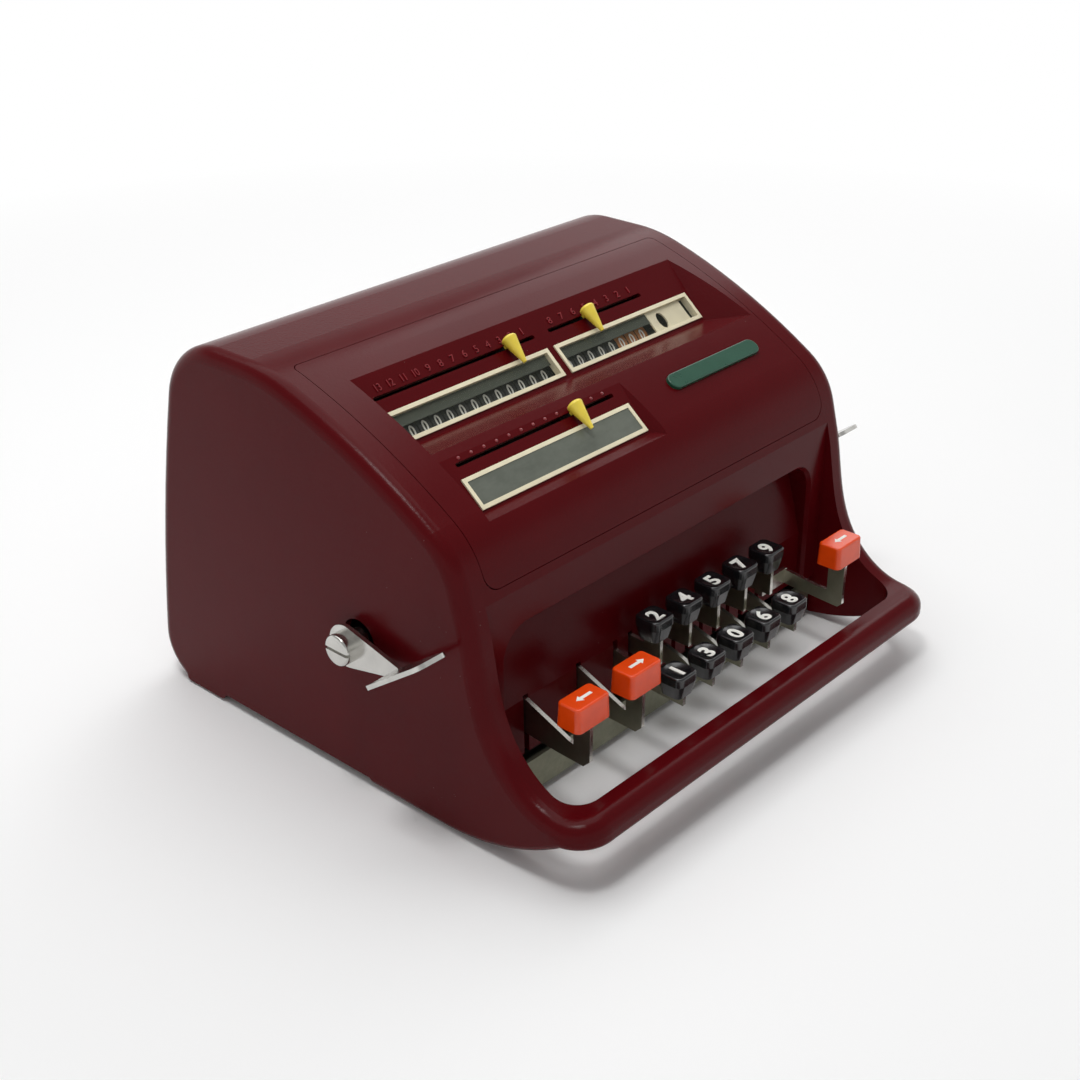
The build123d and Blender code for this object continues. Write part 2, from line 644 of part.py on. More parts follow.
def tilted_normal(degrees):
    """Normal of a face that rises away from the operator at this angle."""
    angle = math.radians(degrees)
    return (0, -math.sin(angle), math.cos(angle))


def seat_axis(plane):
    return Axis(plane.origin, plane.z_dir)


# ------------------------------------------------------------ inner framework
def base_plate():
    plate = block(-BASE_WIDTH / 2, BASE_WIDTH / 2, BASE_FRONT, BASE_BACK, BASE_Z, BASE_Z + BASE_THICKNESS)
    for x, y in screw_places():
        plate -= post(x, y, BASE_Z - 1, BASE_Z + BASE_THICKNESS + 1, SCREW_RADIUS)
    return plate


def front_crossbar():
    """Bent plate: an upright blade across the loop and a tail under the base."""
    half = CROSSBAR_LENGTH / 2
    low = BASE_Z - CROSSBAR_THICKNESS
    blade = block(-half, half, 0, CROSSBAR_THICKNESS, low, CROSSBAR_TOP)
    tail = block(-half, half, 0, CROSSBAR_TAIL, low, BASE_Z)
    return blade + tail


def rubber_feet():
    places = [(side * FOOT_X, y) for side in (-1, 1) for y in (FOOT_FRONT_Y, FOOT_BACK_Y)]
    feet = [post(x, y, 0, BASE_Z, FOOT_RADIUS) for x, y in places]
    return Compound([chamfer(f.faces().sort_by(Axis.Z)[0].edges(), 1) for f in feet])


def case_screws():
    screws = []
    for x, y in screw_places():
        head = post(x, y, BASE_Z - SCREW_HEAD_HEIGHT, BASE_Z, SCREW_HEAD_RADIUS)
        screws.append(head + post(x, y, BASE_Z, BASE_Z + SCREW_LENGTH, SCREW_RADIUS))
    return Compound(screws)


def side_frame(side):
    """Upright plate that carries every cross shaft."""
    outline = Polygon(*FRAME_OUTLINE, align=None)
    plate = side_solid(outline, FRAME_X, FRAME_X + FRAME_THICKNESS)
    plate -= rod(0, FAR, LEVER_PIVOT, PIVOT_ROD_DIAMETER / 2)
    plate -= rod(0, FAR, ROTOR_AXIS, ROTOR_SHAFT_DIAMETER / 2 + BEARING_CLEARANCE)
    plate -= rod(0, FAR, CLEAR_AXIS, CLEAR_SHAFT_DIAMETER / 2 + BEARING_CLEARANCE)
    for axis in (product_axis(), setting_axis()):
        plate -= rod(0, FAR, axis, REGISTER_SHAFT_DIAMETER / 2)
    return plate if side > 0 else mirror(plate, about=Plane.YZ)


def product_axis():
    return axis_at(upper_frame(0, UPPER_WINDOW_DOWN, -WINDOW_GAP - WHEEL_RADIUS))


def setting_axis():
    return axis_at(lower_frame(0, LOWER_WINDOW_DOWN, -WINDOW_GAP - SETTING_WHEEL_RADIUS))


def key_comb():
    """Slotted guide plate behind the well wall."""
    plate = block(-FRAME_X, FRAME_X, COMB_Y, COMB_Y + COMB_THICKNESS, COMB_BOTTOM, COMB_TOP)
    half = COMB_SLOT_WIDTH / 2
    for x in lever_places():
        plate -= block(x - half, x + half, 0, 40, COMB_SLOT_BOTTOM, COMB_SLOT_TOP)
    return plate


def key_pivot_rod():
    reach = FRAME_X + FRAME_THICKNESS
    return rod(-reach, reach, LEVER_PIVOT, PIVOT_ROD_DIAMETER / 2)


def key_return_springs():
    """Upright bar with one leaf under each key lever."""
    half = SPRING_BAR_LENGTH / 2
    y, z = SPRING_ROOT
    comb = block(-half, half, y, y + SPRING_BAR_DEPTH, BASE_Z + BASE_THICKNESS, z + 1)
    leaf = trace(Line((y + 0.5, z), SPRING_TIP), SPRING_THICKNESS)
    for x in lever_places():
        comb += side_solid(leaf, x - SPRING_WIDTH / 2, x + SPRING_WIDTH / 2)
    return comb


# ---------------------------------------------------------------------- keys
def digit_keys():
    """Name and place of each digit key: (name, x, y, top)."""
    upper = [(n, UPPER_ROW_X + i * KEY_PITCH) for i, n in enumerate(UPPER_ROW)]
    lower = [(n, UPPER_ROW_X + (i - 0.5) * KEY_PITCH) for i, n in enumerate(LOWER_ROW)]
    keys = [(n, x, UPPER_CAP_Y, UPPER_CAP_TOP) for n, x in upper]
    return keys + [(n, x, LOWER_CAP_Y, LOWER_CAP_TOP) for n, x in lower]


def arrow_keys():
    return [
        ("tab_left", TAB_LEFT_X, TAB_CAP_Y, ARROW_CAP_TOP),
        ("tab_right", TAB_RIGHT_X, TAB_CAP_Y, ARROW_CAP_TOP),
        ("return", RETURN_CAP_X, RETURN_CAP_Y, ARROW_CAP_TOP),
    ]


def lever_places():
    """X of every lever where it passes the guide comb."""
    places = [x for _, x, _, _ in digit_keys()]
    return places + [TAB_LEFT_X, TAB_RIGHT_X, RETURN_LEVER_X]


def rounded(width, depth, radius):
    return RectangleRounded(width, depth, radius)


def cap_socket(x, y, foot):
    """Blind slot in a cap's underside for its lever's post."""
    gap = 2 * SOCKET_GAP
    size = (LEVER_THICKNESS + gap, POST_WIDTH + gap, 2 * CAP_SOCKET_DEPTH)
    return Pos(x, y, foot) * Box(*size)


def digit_cap(x, y, top):
    """Square cap with a dished top, drawn in towards its foot."""
    foot = top - DIGIT_CAP_HEIGHT
    waist = top - DIGIT_CAP_SHOULDER
    square = rounded(DIGIT_CAP_SIZE, DIGIT_CAP_SIZE, CAP_CORNER)
    head = extrude(Pos(x, y, waist) * square, amount=DIGIT_CAP_SHOULDER)
    head = fillet(head.faces().sort_by(Axis.Z)[-1].edges(), CAP_EDGE)
    base = rounded(DIGIT_CAP_FOOT, DIGIT_CAP_FOOT, CAP_CORNER * DIGIT_CAP_FOOT / DIGIT_CAP_SIZE)
    taper = loft([Pos(x, y, foot) * base, Pos(x, y, waist) * square])
    reach = DIGIT_CAP_SIZE / 2 - CAP_EDGE
    ball = (reach ** 2 + DIGIT_CAP_DISH ** 2) / (2 * DIGIT_CAP_DISH)
    dish = Pos(x, y, top - DIGIT_CAP_DISH + ball) * Sphere(ball)
    return head + taper - dish - cap_socket(x, y, foot)


def arrow_cap(x, y, top):
    """Oblong cap that widens a little towards its foot."""
    foot = top - ARROW_CAP_HEIGHT
    grow = 2 * ARROW_CAP_FLARE
    face = rounded(ARROW_CAP_LENGTH, ARROW_CAP_WIDTH, ARROW_CAP_CORNER)
    base = rounded(ARROW_CAP_LENGTH + grow, ARROW_CAP_WIDTH + grow, ARROW_CAP_CORNER + grow / 2)
    cap = loft([Pos(x, y, foot) * base, Pos(x, y, top) * face])
    cap = fillet(cap.faces().sort_by(Axis.Z)[-1].edges(), CAP_EDGE)
    return cap - cap_socket(x, y, foot)


def lever(outline, x):
    """Flat lever with a pivot eye at its back end."""
    shape = Polygon(*outline, align=None) + Pos(*LEVER_PIVOT) * Circle(LEVER_EYE_RADIUS)
    shape -= Pos(*LEVER_PIVOT) * Circle(PIVOT_ROD_DIAMETER / 2 + PIVOT_CLEARANCE)
    return side_solid(shape, x - LEVER_THICKNESS / 2, x + LEVER_THICKNESS / 2)


def post_top(top, height):
    return top - height + CAP_SOCKET_DEPTH


def upper_lever(x):
    """Lever of a back-row key: a straight bar with an upright end."""
    front = UPPER_CAP_Y - POST_WIDTH / 2
    back = UPPER_CAP_Y + POST_WIDTH / 2
    rise = post_top(UPPER_CAP_TOP, DIGIT_CAP_HEIGHT)
    outline = LEVER_REAR + [(back, 46.5), (back, rise), (front, rise), (front, 38.8)]
    return lever(outline, x)


def lower_lever(x):
    """Lever of a front-row key: it bends down under its cap."""
    front = LOWER_CAP_Y - POST_WIDTH / 2
    back = LOWER_CAP_Y + POST_WIDTH / 2
    rise = post_top(LOWER_CAP_TOP, DIGIT_CAP_HEIGHT)
    outline = LEVER_REAR + [(10.0, 45.5), (-9.0, 42.0), (-18.0, 39.3), (back + 1.5, 36.6)]
    outline += [(back, 36.6), (back, rise), (front, rise), (front, 32.6), (-12.0, 33.5)]
    return lever(outline, x)


def tab_lever(x):
    """Lever of a tabulating key: a falling bar, a foot and a tall post."""
    front = TAB_CAP_Y - POST_WIDTH / 2
    back = TAB_CAP_Y + POST_WIDTH / 2
    rise = post_top(ARROW_CAP_TOP, ARROW_CAP_HEIGHT)
    outline = LEVER_REAR + [(12.0, 47.0), (1.6, 46.5), (-20.5, 37.6), (back, 37.2)]
    outline += [(back, rise), (front, rise), (front, 32.5), (front + 3, 29.5), (-14.0, 30.0)]
    return lever(outline, x)


def return_lever():
    """Lever that steps sideways in front of the comb to reach its cap."""
    front = RETURN_CAP_Y - POST_WIDTH / 2
    back = RETURN_CAP_Y + POST_WIDTH / 2
    rise = post_top(ARROW_CAP_TOP, ARROW_CAP_HEIGHT)
    half = LEVER_THICKNESS / 2
    low, high = JOG_SPAN
    rear = LEVER_REAR + [(30.0, 46.0), (16.0, high + 1), (JOG_Y - half, high), (JOG_Y - half, low)]
    rear += [(16.0, low + 2.5), (30.0, 38.0)]
    fore = [(JOG_Y + half, high), (-18.0, 33.4), (back, 33.4), (back, rise), (front, rise)]
    fore += [(front, 29.0), (front + 2.0, 27.0), (JOG_Y + half, low)]
    jog = block(
        RETURN_LEVER_X - half, RETURN_CAP_X + half, JOG_Y - half, JOG_Y + half, low, high
    )
    fore = side_solid(Polygon(*fore, align=None), RETURN_CAP_X - half, RETURN_CAP_X + half)
    return lever(rear, RETURN_LEVER_X) + jog + fore


# --------------------------------------------------- registers and pin rotor
def wheels(count, left, axis, radius):
    """A row of numeral wheels on one shaft, each with a recessed hub face."""
    row = []
    bore = REGISTER_SHAFT_DIAMETER / 2 + REGISTER_CLEARANCE
    for i in range(count):
        start = left + i * WHEEL_PITCH
        wheel = rod(start, start + WHEEL_THICKNESS, axis, radius)
        well = rod(start, start + WHEEL_RECESS, axis, radius - WHEEL_RIM)
        hub = rod(start, start + WHEEL_RECESS, axis, WHEEL_HUB_RADIUS)
        row.append(wheel - (well - hub) - rod(start - 1, start + WHEEL_PITCH, axis, bore))
    return Compound(row)


def register_shafts():
    reach = FRAME_X + FRAME_THICKNESS
    radius = REGISTER_SHAFT_DIAMETER / 2
    return Compound([rod(-reach, reach, axis, radius) for axis in (product_axis(), setting_axis())])


def rotor_shaft():
    """The crank's shaft, from the left side frame out through the right wall."""
    reach = FRAME_X + FRAME_THICKNESS
    return rod(-reach, CRANK_ARM_X, ROTOR_AXIS, ROTOR_SHAFT_DIAMETER / 2)


def pinwheel_rotor():
    """Ten discs on a hub. Each disc's pins stand out over part of its rim."""
    pitch = WHEEL_PITCH
    end = ROTOR_LEFT + (ROTOR_DISCS - 1) * pitch + ROTOR_DISC_THICKNESS
    rotor = rod(ROTOR_LEFT - ROTOR_HUB_REACH, end + ROTOR_HUB_REACH, ROTOR_AXIS, ROTOR_HUB_RADIUS)
    for i in range(ROTOR_DISCS):
        left = ROTOR_LEFT + i * pitch
        disc = Pos(*ROTOR_AXIS) * Circle(ROTOR_RADIUS)
        rotor += side_solid(disc, left, left + ROTOR_DISC_THICKNESS)
        rotor += disc_pins(left)
    return rotor - rod(-FAR, FAR, ROTOR_AXIS, ROTOR_SHAFT_DIAMETER / 2)


def disc_pins(left):
    """The setting pins of one disc, evenly spaced over a sector of its rim."""
    reach = ROTOR_RADIUS + ROTOR_PIN_LENGTH
    pin = Pos(reach / 2 + ROTOR_HUB_RADIUS / 2) * Rectangle(reach - ROTOR_HUB_RADIUS, ROTOR_PIN_WIDTH)
    first = ROTOR_PIN_START
    turns = [first + i * ROTOR_PIN_STEP for i in range(ROTOR_PINS)]
    fan = Sketch() + [Pos(*ROTOR_AXIS) * Rot(0, 0, turn) * pin for turn in turns]
    inset = (ROTOR_DISC_THICKNESS - ROTOR_PIN_THICKNESS) / 2
    return side_solid(fan, left + inset, left + inset + ROTOR_PIN_THICKNESS)


# ---------------------------------------------------------------- hand crank
def crank_arm():
    """Hub on the shaft's end, a tapered arm and the pin its handle turns on."""
    y, z = ROTOR_AXIS
    pin_axis = (y, z - CRANK_THROW)
    face = CRANK_ARM_X + CRANK_ARM_THICKNESS
    plate = make_hull(
        (Pos(*ROTOR_AXIS) * Circle(CRANK_HUB_RADIUS)).edges()
        + (Pos(*pin_axis) * Circle(CRANK_END_RADIUS)).edges()
    )
    arm = side_solid(plate, CRANK_ARM_X, face)
    arm += rod(CRANK_HUB_X, CRANK_ARM_X, ROTOR_AXIS, CRANK_HUB_RADIUS)
    arm += rod(face, face + HANDLE_PIN_LENGTH, pin_axis, HANDLE_PIN_DIAMETER / 2)
    return arm - rod(0, CRANK_ARM_X, ROTOR_AXIS, ROTOR_SHAFT_DIAMETER / 2)


def crank_handle():
    """Turned grip with a blind bore for the crank's pin."""
    start = CRANK_ARM_X + CRANK_ARM_THICKNESS + HANDLE_GAP
    y, z = ROTOR_AXIS[0], ROTOR_AXIS[1] - CRANK_THROW
    outline = Polygon(
        (0, 0),
        (HANDLE_WAIST, 0),
        (HANDLE_WAIST, 3.0),
        (HANDLE_RADIUS, 14.0),
        (HANDLE_RADIUS, HANDLE_LENGTH - 8.0),
        (HANDLE_WAIST, HANDLE_LENGTH),
        (0, HANDLE_LENGTH),
        align=None,
    )
    grip = revolve(outline, Axis.Y)
    grip = fillet(grip.edges().group_by(Axis.Y)[-1], HANDLE_EDGE)
    grip = Plane(origin=(start, y, z), x_dir=(0, 0, 1), z_dir=(0, 1, 0)) * grip
    bore = HANDLE_PIN_DIAMETER / 2 + HANDLE_CLEARANCE
    return grip - rod(start - 1, start + HANDLE_PIN_LENGTH, (y, z), bore)


# ----------------------------------------------------------- clearing levers
def clear_lever(side):
    """Disc and tapered arm on a shaft, with a finger tab bent outwards."""
    outer = CLEAR_PLATE_X + CLEAR_PLATE_THICKNESS
    plate = make_hull(
        (Pos(*CLEAR_AXIS) * Circle(CLEAR_DISC_RADIUS)).edges()
        + (Pos(*CLEAR_NECK) * Circle(CLEAR_NECK_RADIUS)).edges()
    )
    lever = side_solid(plate, CLEAR_PLATE_X, outer)
    lever += rod(CLEAR_PLATE_X - CLEAR_BOSS_LENGTH, CLEAR_PLATE_X, CLEAR_AXIS, CLEAR_BOSS_RADIUS)
    lever += rod(FRAME_X - 1, CLEAR_PLATE_X, CLEAR_AXIS, CLEAR_SHAFT_DIAMETER / 2)
    lever += finger_tab()
    return lever if side > 0 else mirror(lever, about=Plane.YZ)


def finger_tab():
    run = math.dist(CLEAR_NECK, CLEAR_TAB_END)
    lean = math.degrees(math.atan2(CLEAR_TAB_END[1] - CLEAR_NECK[1], CLEAR_NECK[0] - CLEAR_TAB_END[0]))
    sketch = Rectangle(CLEAR_TAB_WIDTH, run, align=(Align.MIN, Align.MIN))
    sketch = fillet(sketch.vertices().group_by(Axis.Y)[-1], CLEAR_TAB_CORNER)
    angle = math.radians(lean)
    along = Vector(0, -math.cos(angle), math.sin(angle))
    across = Vector(1, 0, 0)
    place = Plane(origin=(CLEAR_PLATE_X, *CLEAR_NECK), x_dir=across, z_dir=across.cross(along))
    return extrude(place * sketch, amount=CLEAR_PLATE_THICKNESS / 2, both=True)


def lever_screw(side):
    """Domed screw head on the outside of a clearing lever."""
    start = CLEAR_PLATE_X + CLEAR_PLATE_THICKNESS
    head = rod(start, start + CLEAR_SCREW_HEIGHT, CLEAR_AXIS, CLEAR_SCREW_RADIUS)
    head = fillet(head.faces().sort_by(Axis.X)[-1].edges(), CLEAR_SCREW_EDGE)
    slot = block(
        start + CLEAR_SCREW_HEIGHT - CLEAR_SCREW_SLOT_DEPTH, FAR,
        CLEAR_AXIS[0] - 20, CLEAR_AXIS[0] + 20,
        CLEAR_AXIS[1] - CLEAR_SCREW_SLOT / 2, CLEAR_AXIS[1] + CLEAR_SCREW_SLOT / 2,
    )
    head -= slot
    return head if side > 0 else mirror(head, about=Plane.YZ)


# ---------------------------------------------------------------------- write
def key_parts():
    parts = {}
    for name, x, y, top in digit_keys():
        parts["key_cap_" + name] = digit_cap(x, y, top)
        parts["key_lever_" + name] = upper_lever(x) if y == UPPER_CAP_Y else lower_lever(x)
    for name, x, y, top in arrow_keys():
        parts["key_cap_" + name] = arrow_cap(x, y, top)
        parts["key_lever_" + name] = return_lever() if x == RETURN_CAP_X else tab_lever(x)
    return parts


def all_parts():
    parts = {
        "housing": housing(),
        "top_panel": top_panel(),
        "name_badge": name_badge(),
        "window_frame_product": window_frame(*windows()[0]),
        "window_frame_counter": window_frame(*windows()[1]),
        "window_frame_setting": window_frame(*windows()[2]),
        "window_glasses": window_glasses(),
        "counter_mask": counter_mask(),
        "pointer_rails": pointer_rails(),
        "pointer_product": pointer(upper_frame(PRODUCT_POINTER_X, UPPER_SLOT_DOWN)),
        "pointer_counter": pointer(upper_frame(COUNTER_POINTER_X, UPPER_SLOT_DOWN)),
        "pointer_setting": pointer(lower_frame(SETTING_POINTER_X, LOWER_SLOT_DOWN)),
        "base_plate": base_plate(),
        "front_crossbar": front_crossbar(),
        "rubber_feet": rubber_feet(),
        "case_screws": case_screws(),
        "frame_side_left": side_frame(-1),
        "frame_side_right": side_frame(1),
        "key_comb": key_comb(),
        "key_pivot_rod": key_pivot_rod(),
        "key_return_springs": key_return_springs(),
        "register_shafts": register_shafts(),
        "product_wheels": wheels(PRODUCT_WHEELS, PRODUCT_WHEELS_LEFT, product_axis(), WHEEL_RADIUS),
        "counter_wheels": wheels(COUNTER_WHEELS, COUNTER_WHEELS_LEFT, product_axis(), WHEEL_RADIUS),
        "setting_wheels": wheels(
            SETTING_WHEELS, SETTING_WHEELS_LEFT, setting_axis(), SETTING_WHEEL_RADIUS
        ),
        "rotor_shaft": rotor_shaft(),
        "pinwheel_rotor": pinwheel_rotor(),
        "crank_arm": crank_arm(),
        "crank_handle": crank_handle(),
        "clear_lever_left": clear_lever(-1),
        "clear_lever_right": clear_lever(1),
        "lever_screw_left": lever_screw(-1),
        "lever_screw_right": lever_screw(1),
    }
    parts.update(key_parts())
    return parts


def main():
    os.makedirs("parts", exist_ok=True)
    parts = all_parts()
    box = Compound(list(parts.values())).bounding_box()
    shift = Pos(-(box.min.X + box.max.X) / 2, -(box.min.Y + box.max.Y) / 2, -box.min.Z)
    print("shift", tuple(round(v, 3) for v in shift.position))
    print("size", tuple(round(v, 3) for v in box.size))
    for name, part in parts.items():
        export_step(shift * part, "parts/" + name + ".step")


if __name__ == "__main__":
    main()
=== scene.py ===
"""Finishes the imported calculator: paint, plating, key legends, numeral wheels,
cast numerals, trim and a plain studio. Lengths in the properties are metres."""
import math

import bpy
import numpy as np
from bpy.props import FloatProperty, FloatVectorProperty, PointerProperty
from bpy.types import Operator, Panel, PropertyGroup
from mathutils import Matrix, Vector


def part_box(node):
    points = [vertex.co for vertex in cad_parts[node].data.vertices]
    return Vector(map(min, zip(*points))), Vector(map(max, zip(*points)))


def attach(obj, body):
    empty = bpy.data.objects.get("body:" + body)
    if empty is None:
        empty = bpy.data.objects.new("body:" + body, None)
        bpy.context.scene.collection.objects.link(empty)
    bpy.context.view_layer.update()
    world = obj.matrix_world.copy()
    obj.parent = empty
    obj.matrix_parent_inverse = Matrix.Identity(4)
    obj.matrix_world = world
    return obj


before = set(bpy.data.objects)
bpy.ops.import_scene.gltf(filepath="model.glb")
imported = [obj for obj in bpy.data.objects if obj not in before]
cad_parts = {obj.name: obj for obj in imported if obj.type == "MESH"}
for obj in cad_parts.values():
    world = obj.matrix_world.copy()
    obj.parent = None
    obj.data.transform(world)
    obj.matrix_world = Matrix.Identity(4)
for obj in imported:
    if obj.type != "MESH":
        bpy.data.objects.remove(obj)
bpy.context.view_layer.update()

bl_info = {
    "name": "Pinwheel calculator finish",
    "version": (1, 0, 0),
    "blender": (4, 5, 0),
    "location": "View3D > Sidebar > Calculator",
    "description": "Dresses the calculator's metal body, keys, windows and levers",
    "category": "Object",
}

# From the part's own zero (the body's middle, its front face, the table) to the
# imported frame's.
SHIFT = np.array((-0.02925, -0.063303, 0.0))

# The digit keys of each row, from the left.
UPPER_ROW = "24579"
LOWER_ROW = "13068"
LEGEND_THICKNESS = 0.0004
LEGEND_PROUD = 0.00012      # how far a legend stands over its cap
CAP_DISH = 0.0007           # depth of a digit cap's dish
DISH_SHARE = 0.86           # the dish's reach, as a share of half the cap

# (Y, Z) of the top edge and the crease of each recess's back face.
UPPER_TOP = (0.0810, 0.1563)
UPPER_CREASE = (0.0565, 0.1355)
LOWER_TOP = (0.0355, 0.1371)
LOWER_CREASE = (0.0167, 0.1220)

# (Y, Z) of the shafts, and the wheels on them.
PRODUCT_SHAFT = (0.072964, 0.129146)
SETTING_SHAFT = (0.031324, 0.116430)
UPPER_RADIUS = 0.011
LOWER_RADIUS = 0.009
WHEEL_PITCH = 0.0068
WHEEL_WIDTH = 0.0062
COUNTER_LEFT = 0.0090       # X where the counter's first wheel starts
WARM_WHEELS = (5, 6, 7)     # places of the brownish wheels in the counter
UPPER_ZERO = -49.7          # degrees from straight up to a wheel's zero
LOWER_ZERO = -52.0
DIGIT_TURN = 36.0           # degrees from one digit of a wheel to the next
DIGIT_THICKNESS = 0.00016
DIGIT_LIFT = 0.00008        # middle of a digit's plate above the wheel
RIM_LIFT = 0.00004          # how far a brownish rim stands over its wheel

# The cast numerals above the upper slots and the dots above the lower one.
SCALE_HEIGHT = 0.0033
SCALE_THICKNESS = 0.0007
SCALE_DOWN = 0.0058
SCALE_LIFT = 0.00012        # middle of a numeral's plate off the slope
DOT_RADIUS = 0.00075
DOT_HEIGHT = 0.0006
DOT_SUNK = 0.00002
DOT_DOWN = 0.0010
SCALE_LEFT = -0.0845        # X of the first numeral and of the first dot

# The pointers' rounded ends.
POINTER_RADIUS = 0.0034
POINTER_ROUND = 0.0016
POINTER_BACK = 0.00145      # from a pointer's place up the slope to its broad end
POINTER_AXIS = 0.0038       # height of a cone's axis over the slope

# The dark strips behind the upper windows, a painted shade inside them: from the windows' middle,
# and off the slope.
WINDOW_DOWN = 0.0237        # the windows' middle down the slope
STRIP_DOWN = (-0.0051, -0.0003)
STRIP_LIFT = (-0.00105, -0.00125)

# The studio.
FLOOR_RADIUS = 6.0
FLOOR_SIDES = 96
FLOOR_FADE = (0.35, 0.5)    # where the fade to white starts, and its length
WALL_TOP = 0.25             # upward part of a direction where the white walls end
WALL_FADE = 4.0             # how fast they end
PHOTO_WIDTH = 1080.0        # pixels
PHOTO_FOCAL = 1664.6        # focal length in those pixels
SENSOR = 36.0               # millimetres
CAMERA_PLACE = (-0.47534, -0.35607, 0.39244)
CAMERA_DOWN = 27.703        # degrees below level
CAMERA_TURN = -48.105


# ----------------------------------------------------------------- shader maths
class Value:
    """A shader socket that adds Math nodes when it is used in an expression."""

    def __init__(self, tree, socket):
        self.tree = tree
        self.socket = socket

    def _math(self, operation, *terms):
        node = self.tree.nodes.new("ShaderNodeMath")
        node.operation = operation
        for place, term in enumerate(terms):
            if isinstance(term, Value):
                self.tree.links.new(term.socket, node.inputs[place])
            else:
                node.inputs[place].default_value = term
        return Value(self.tree, node.outputs[0])

    def __add__(self, other):
        return self._math("ADD", self, other)

    __radd__ = __add__

    def __sub__(self, other):
        return self._math("SUBTRACT", self, other)

    def __rsub__(self, other):
        return self._math("SUBTRACT", other, self)

    def __mul__(self, other):
        return self._math("MULTIPLY", self, other)

    __rmul__ = __mul__

    def __truediv__(self, other):
        return self._math("DIVIDE", self, other)

    def __gt__(self, other):
        return self._math("GREATER_THAN", self, other)

    def __lt__(self, other):
        return self._math("LESS_THAN", self, other)

    def size(self):
        return self._math("ABSOLUTE", self)

    def clamped(self):
        held = self._math("MAXIMUM", self, 0.0)
        return held._math("MINIMUM", held, 1.0)


def add_node(tree, kind, settings=None, **inputs):
    """Adds a node: its settings first, then the values or links of its sockets."""
    node = tree.nodes.new(kind)
    for name, value in (settings or {}).items():
        setattr(node, name, value)
    for name, value in inputs.items():
        socket = node.inputs[name.replace("_", " ")]
        if isinstance(value, Value):
            value = value.socket
        if isinstance(value, bpy.types.NodeSocket):
            tree.links.new(value, socket)
        else:
            socket.default_value = value
    return node


def looked_at(tree, *rays):
    """One for camera rays and the kinds of ray that are named, zero for the rest."""
    path = add_node(tree, "ShaderNodeLightPath")
    seen = Value(tree, path.outputs["Is Camera Ray"])
    for ray in rays:
        seen = seen + Value(tree, path.outputs[ray])
    return seen.clamped()


class Finish:
    """One material with a Principled shader and a short way to add its nodes."""

    def __init__(self, name, colour, roughness, metallic=0.0, coat=0.0, coat_roughness=0.1):
        self.material = bpy.data.materials.new(name)
        self.material.use_nodes = True
        self.tree = self.material.node_tree
        self.tree.nodes.clear()
        self.shader = self.node(
            "ShaderNodeBsdfPrincipled",
            Base_Color=(*colour, 1.0),
            Roughness=roughness,
            Metallic=metallic,
            Coat_Weight=coat,
            Coat_Roughness=coat_roughness,
        )
        self.output = self.node("ShaderNodeOutputMaterial", Surface=self.shader.outputs[0])
        self.place = self.node("ShaderNodeTexCoord").outputs["Object"]

    def node(self, kind, settings=None, **inputs):
        return add_node(self.tree, kind, settings, **inputs)

    def noise(self, scale, detail=2.0, roughness=0.5, stretch=None):
        where = self.place
        if stretch:
            where = self.node("ShaderNodeMapping", Vector=where, Scale=stretch).outputs[0]
        node = self.node(
            "ShaderNodeTexNoise", Vector=where, Scale=scale, Detail=detail, Roughness=roughness
        )
        return Value(self.tree, node.outputs[0])

    def cells(self, scale):
        node = self.node("ShaderNodeTexVoronoi", Vector=self.place, Scale=scale)
        return Value(self.tree, node.outputs["Distance"])

    def axis(self, letter):
        split = self.node("ShaderNodeSeparateXYZ", Vector=self.place)
        return Value(self.tree, split.outputs[letter])

    def mix(self, amount, first, second):
        """Blends two colours, either of which may be a socket."""
        node = self.node("ShaderNodeMix", {"data_type": "RGBA"})
        pairs = ((0, amount), (6, first), (7, second))
        for place, value in pairs:
            if isinstance(value, Value):
                value = value.socket
            if isinstance(value, bpy.types.NodeSocket):
                self.tree.links.new(value, node.inputs[place])
            elif place:
                node.inputs[place].default_value = (*value[:3], 1.0)
            else:
                node.inputs[place].default_value = value
        return node.outputs[2]

    def feed(self, **inputs):
        for name, value in inputs.items():
            if isinstance(value, Value):
                value = value.socket
            self.tree.links.new(value, self.shader.inputs[name.replace("_", " ")])
        return self

    def bump(self, height, distance, strength=1.0):
        node = self.node("ShaderNodeBump", Height=height, Distance=distance, Strength=strength)
        return self.feed(Normal=node.outputs[0])


def shade(colour, factor):
    return tuple(min(1.0, channel * factor) for channel in colour)


def paint_nodes(finish, *names):
    for name in names:
        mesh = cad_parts[name].data
        mesh.materials.clear()
        mesh.materials.append(finish.material)


# ---------------------------------------------------------------- mesh building
def add_piece(name, points, faces, finish, body, smooth=True):
    """Puts arrays of points and faces into a mesh that rides on a body."""
    mesh = bpy.data.meshes.new(name)
    mesh.from_pydata(np.asarray(points).tolist(), [], [list(face) for face in faces])
    mesh.validate()
    mesh.polygons.foreach_set("use_smooth", np.full(len(mesh.polygons), smooth))
    mesh.materials.append(finish.material)
    piece = bpy.data.objects.new(name, mesh)
    bpy.context.scene.collection.objects.link(piece)
    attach(piece, body)
    return piece


def grid_faces(rows, columns, wrap=False, start=0):
    """Quads of a rows by columns grid of points, closed round its columns if asked."""
    last = columns if wrap else columns - 1
    row, column = np.meshgrid(np.arange(rows - 1), np.arange(last), indexing="ij")
    beside = (column + 1) % columns
    quads = np.stack(
        (row * columns + column, row * columns + beside,
         (row + 1) * columns + beside, (row + 1) * columns + column), axis=-1
    )
    return (quads.reshape(-1, 4) + start).tolist()


def gather(parts):
    """Joins several (points, faces) pairs into one."""
    points, faces, count = [], [], 0
    for some_points, some_faces in parts:
        points.append(np.asarray(some_points))
        faces += [[corner + count for corner in face] for face in some_faces]
        count += len(some_points)
    return np.concatenate(points), faces


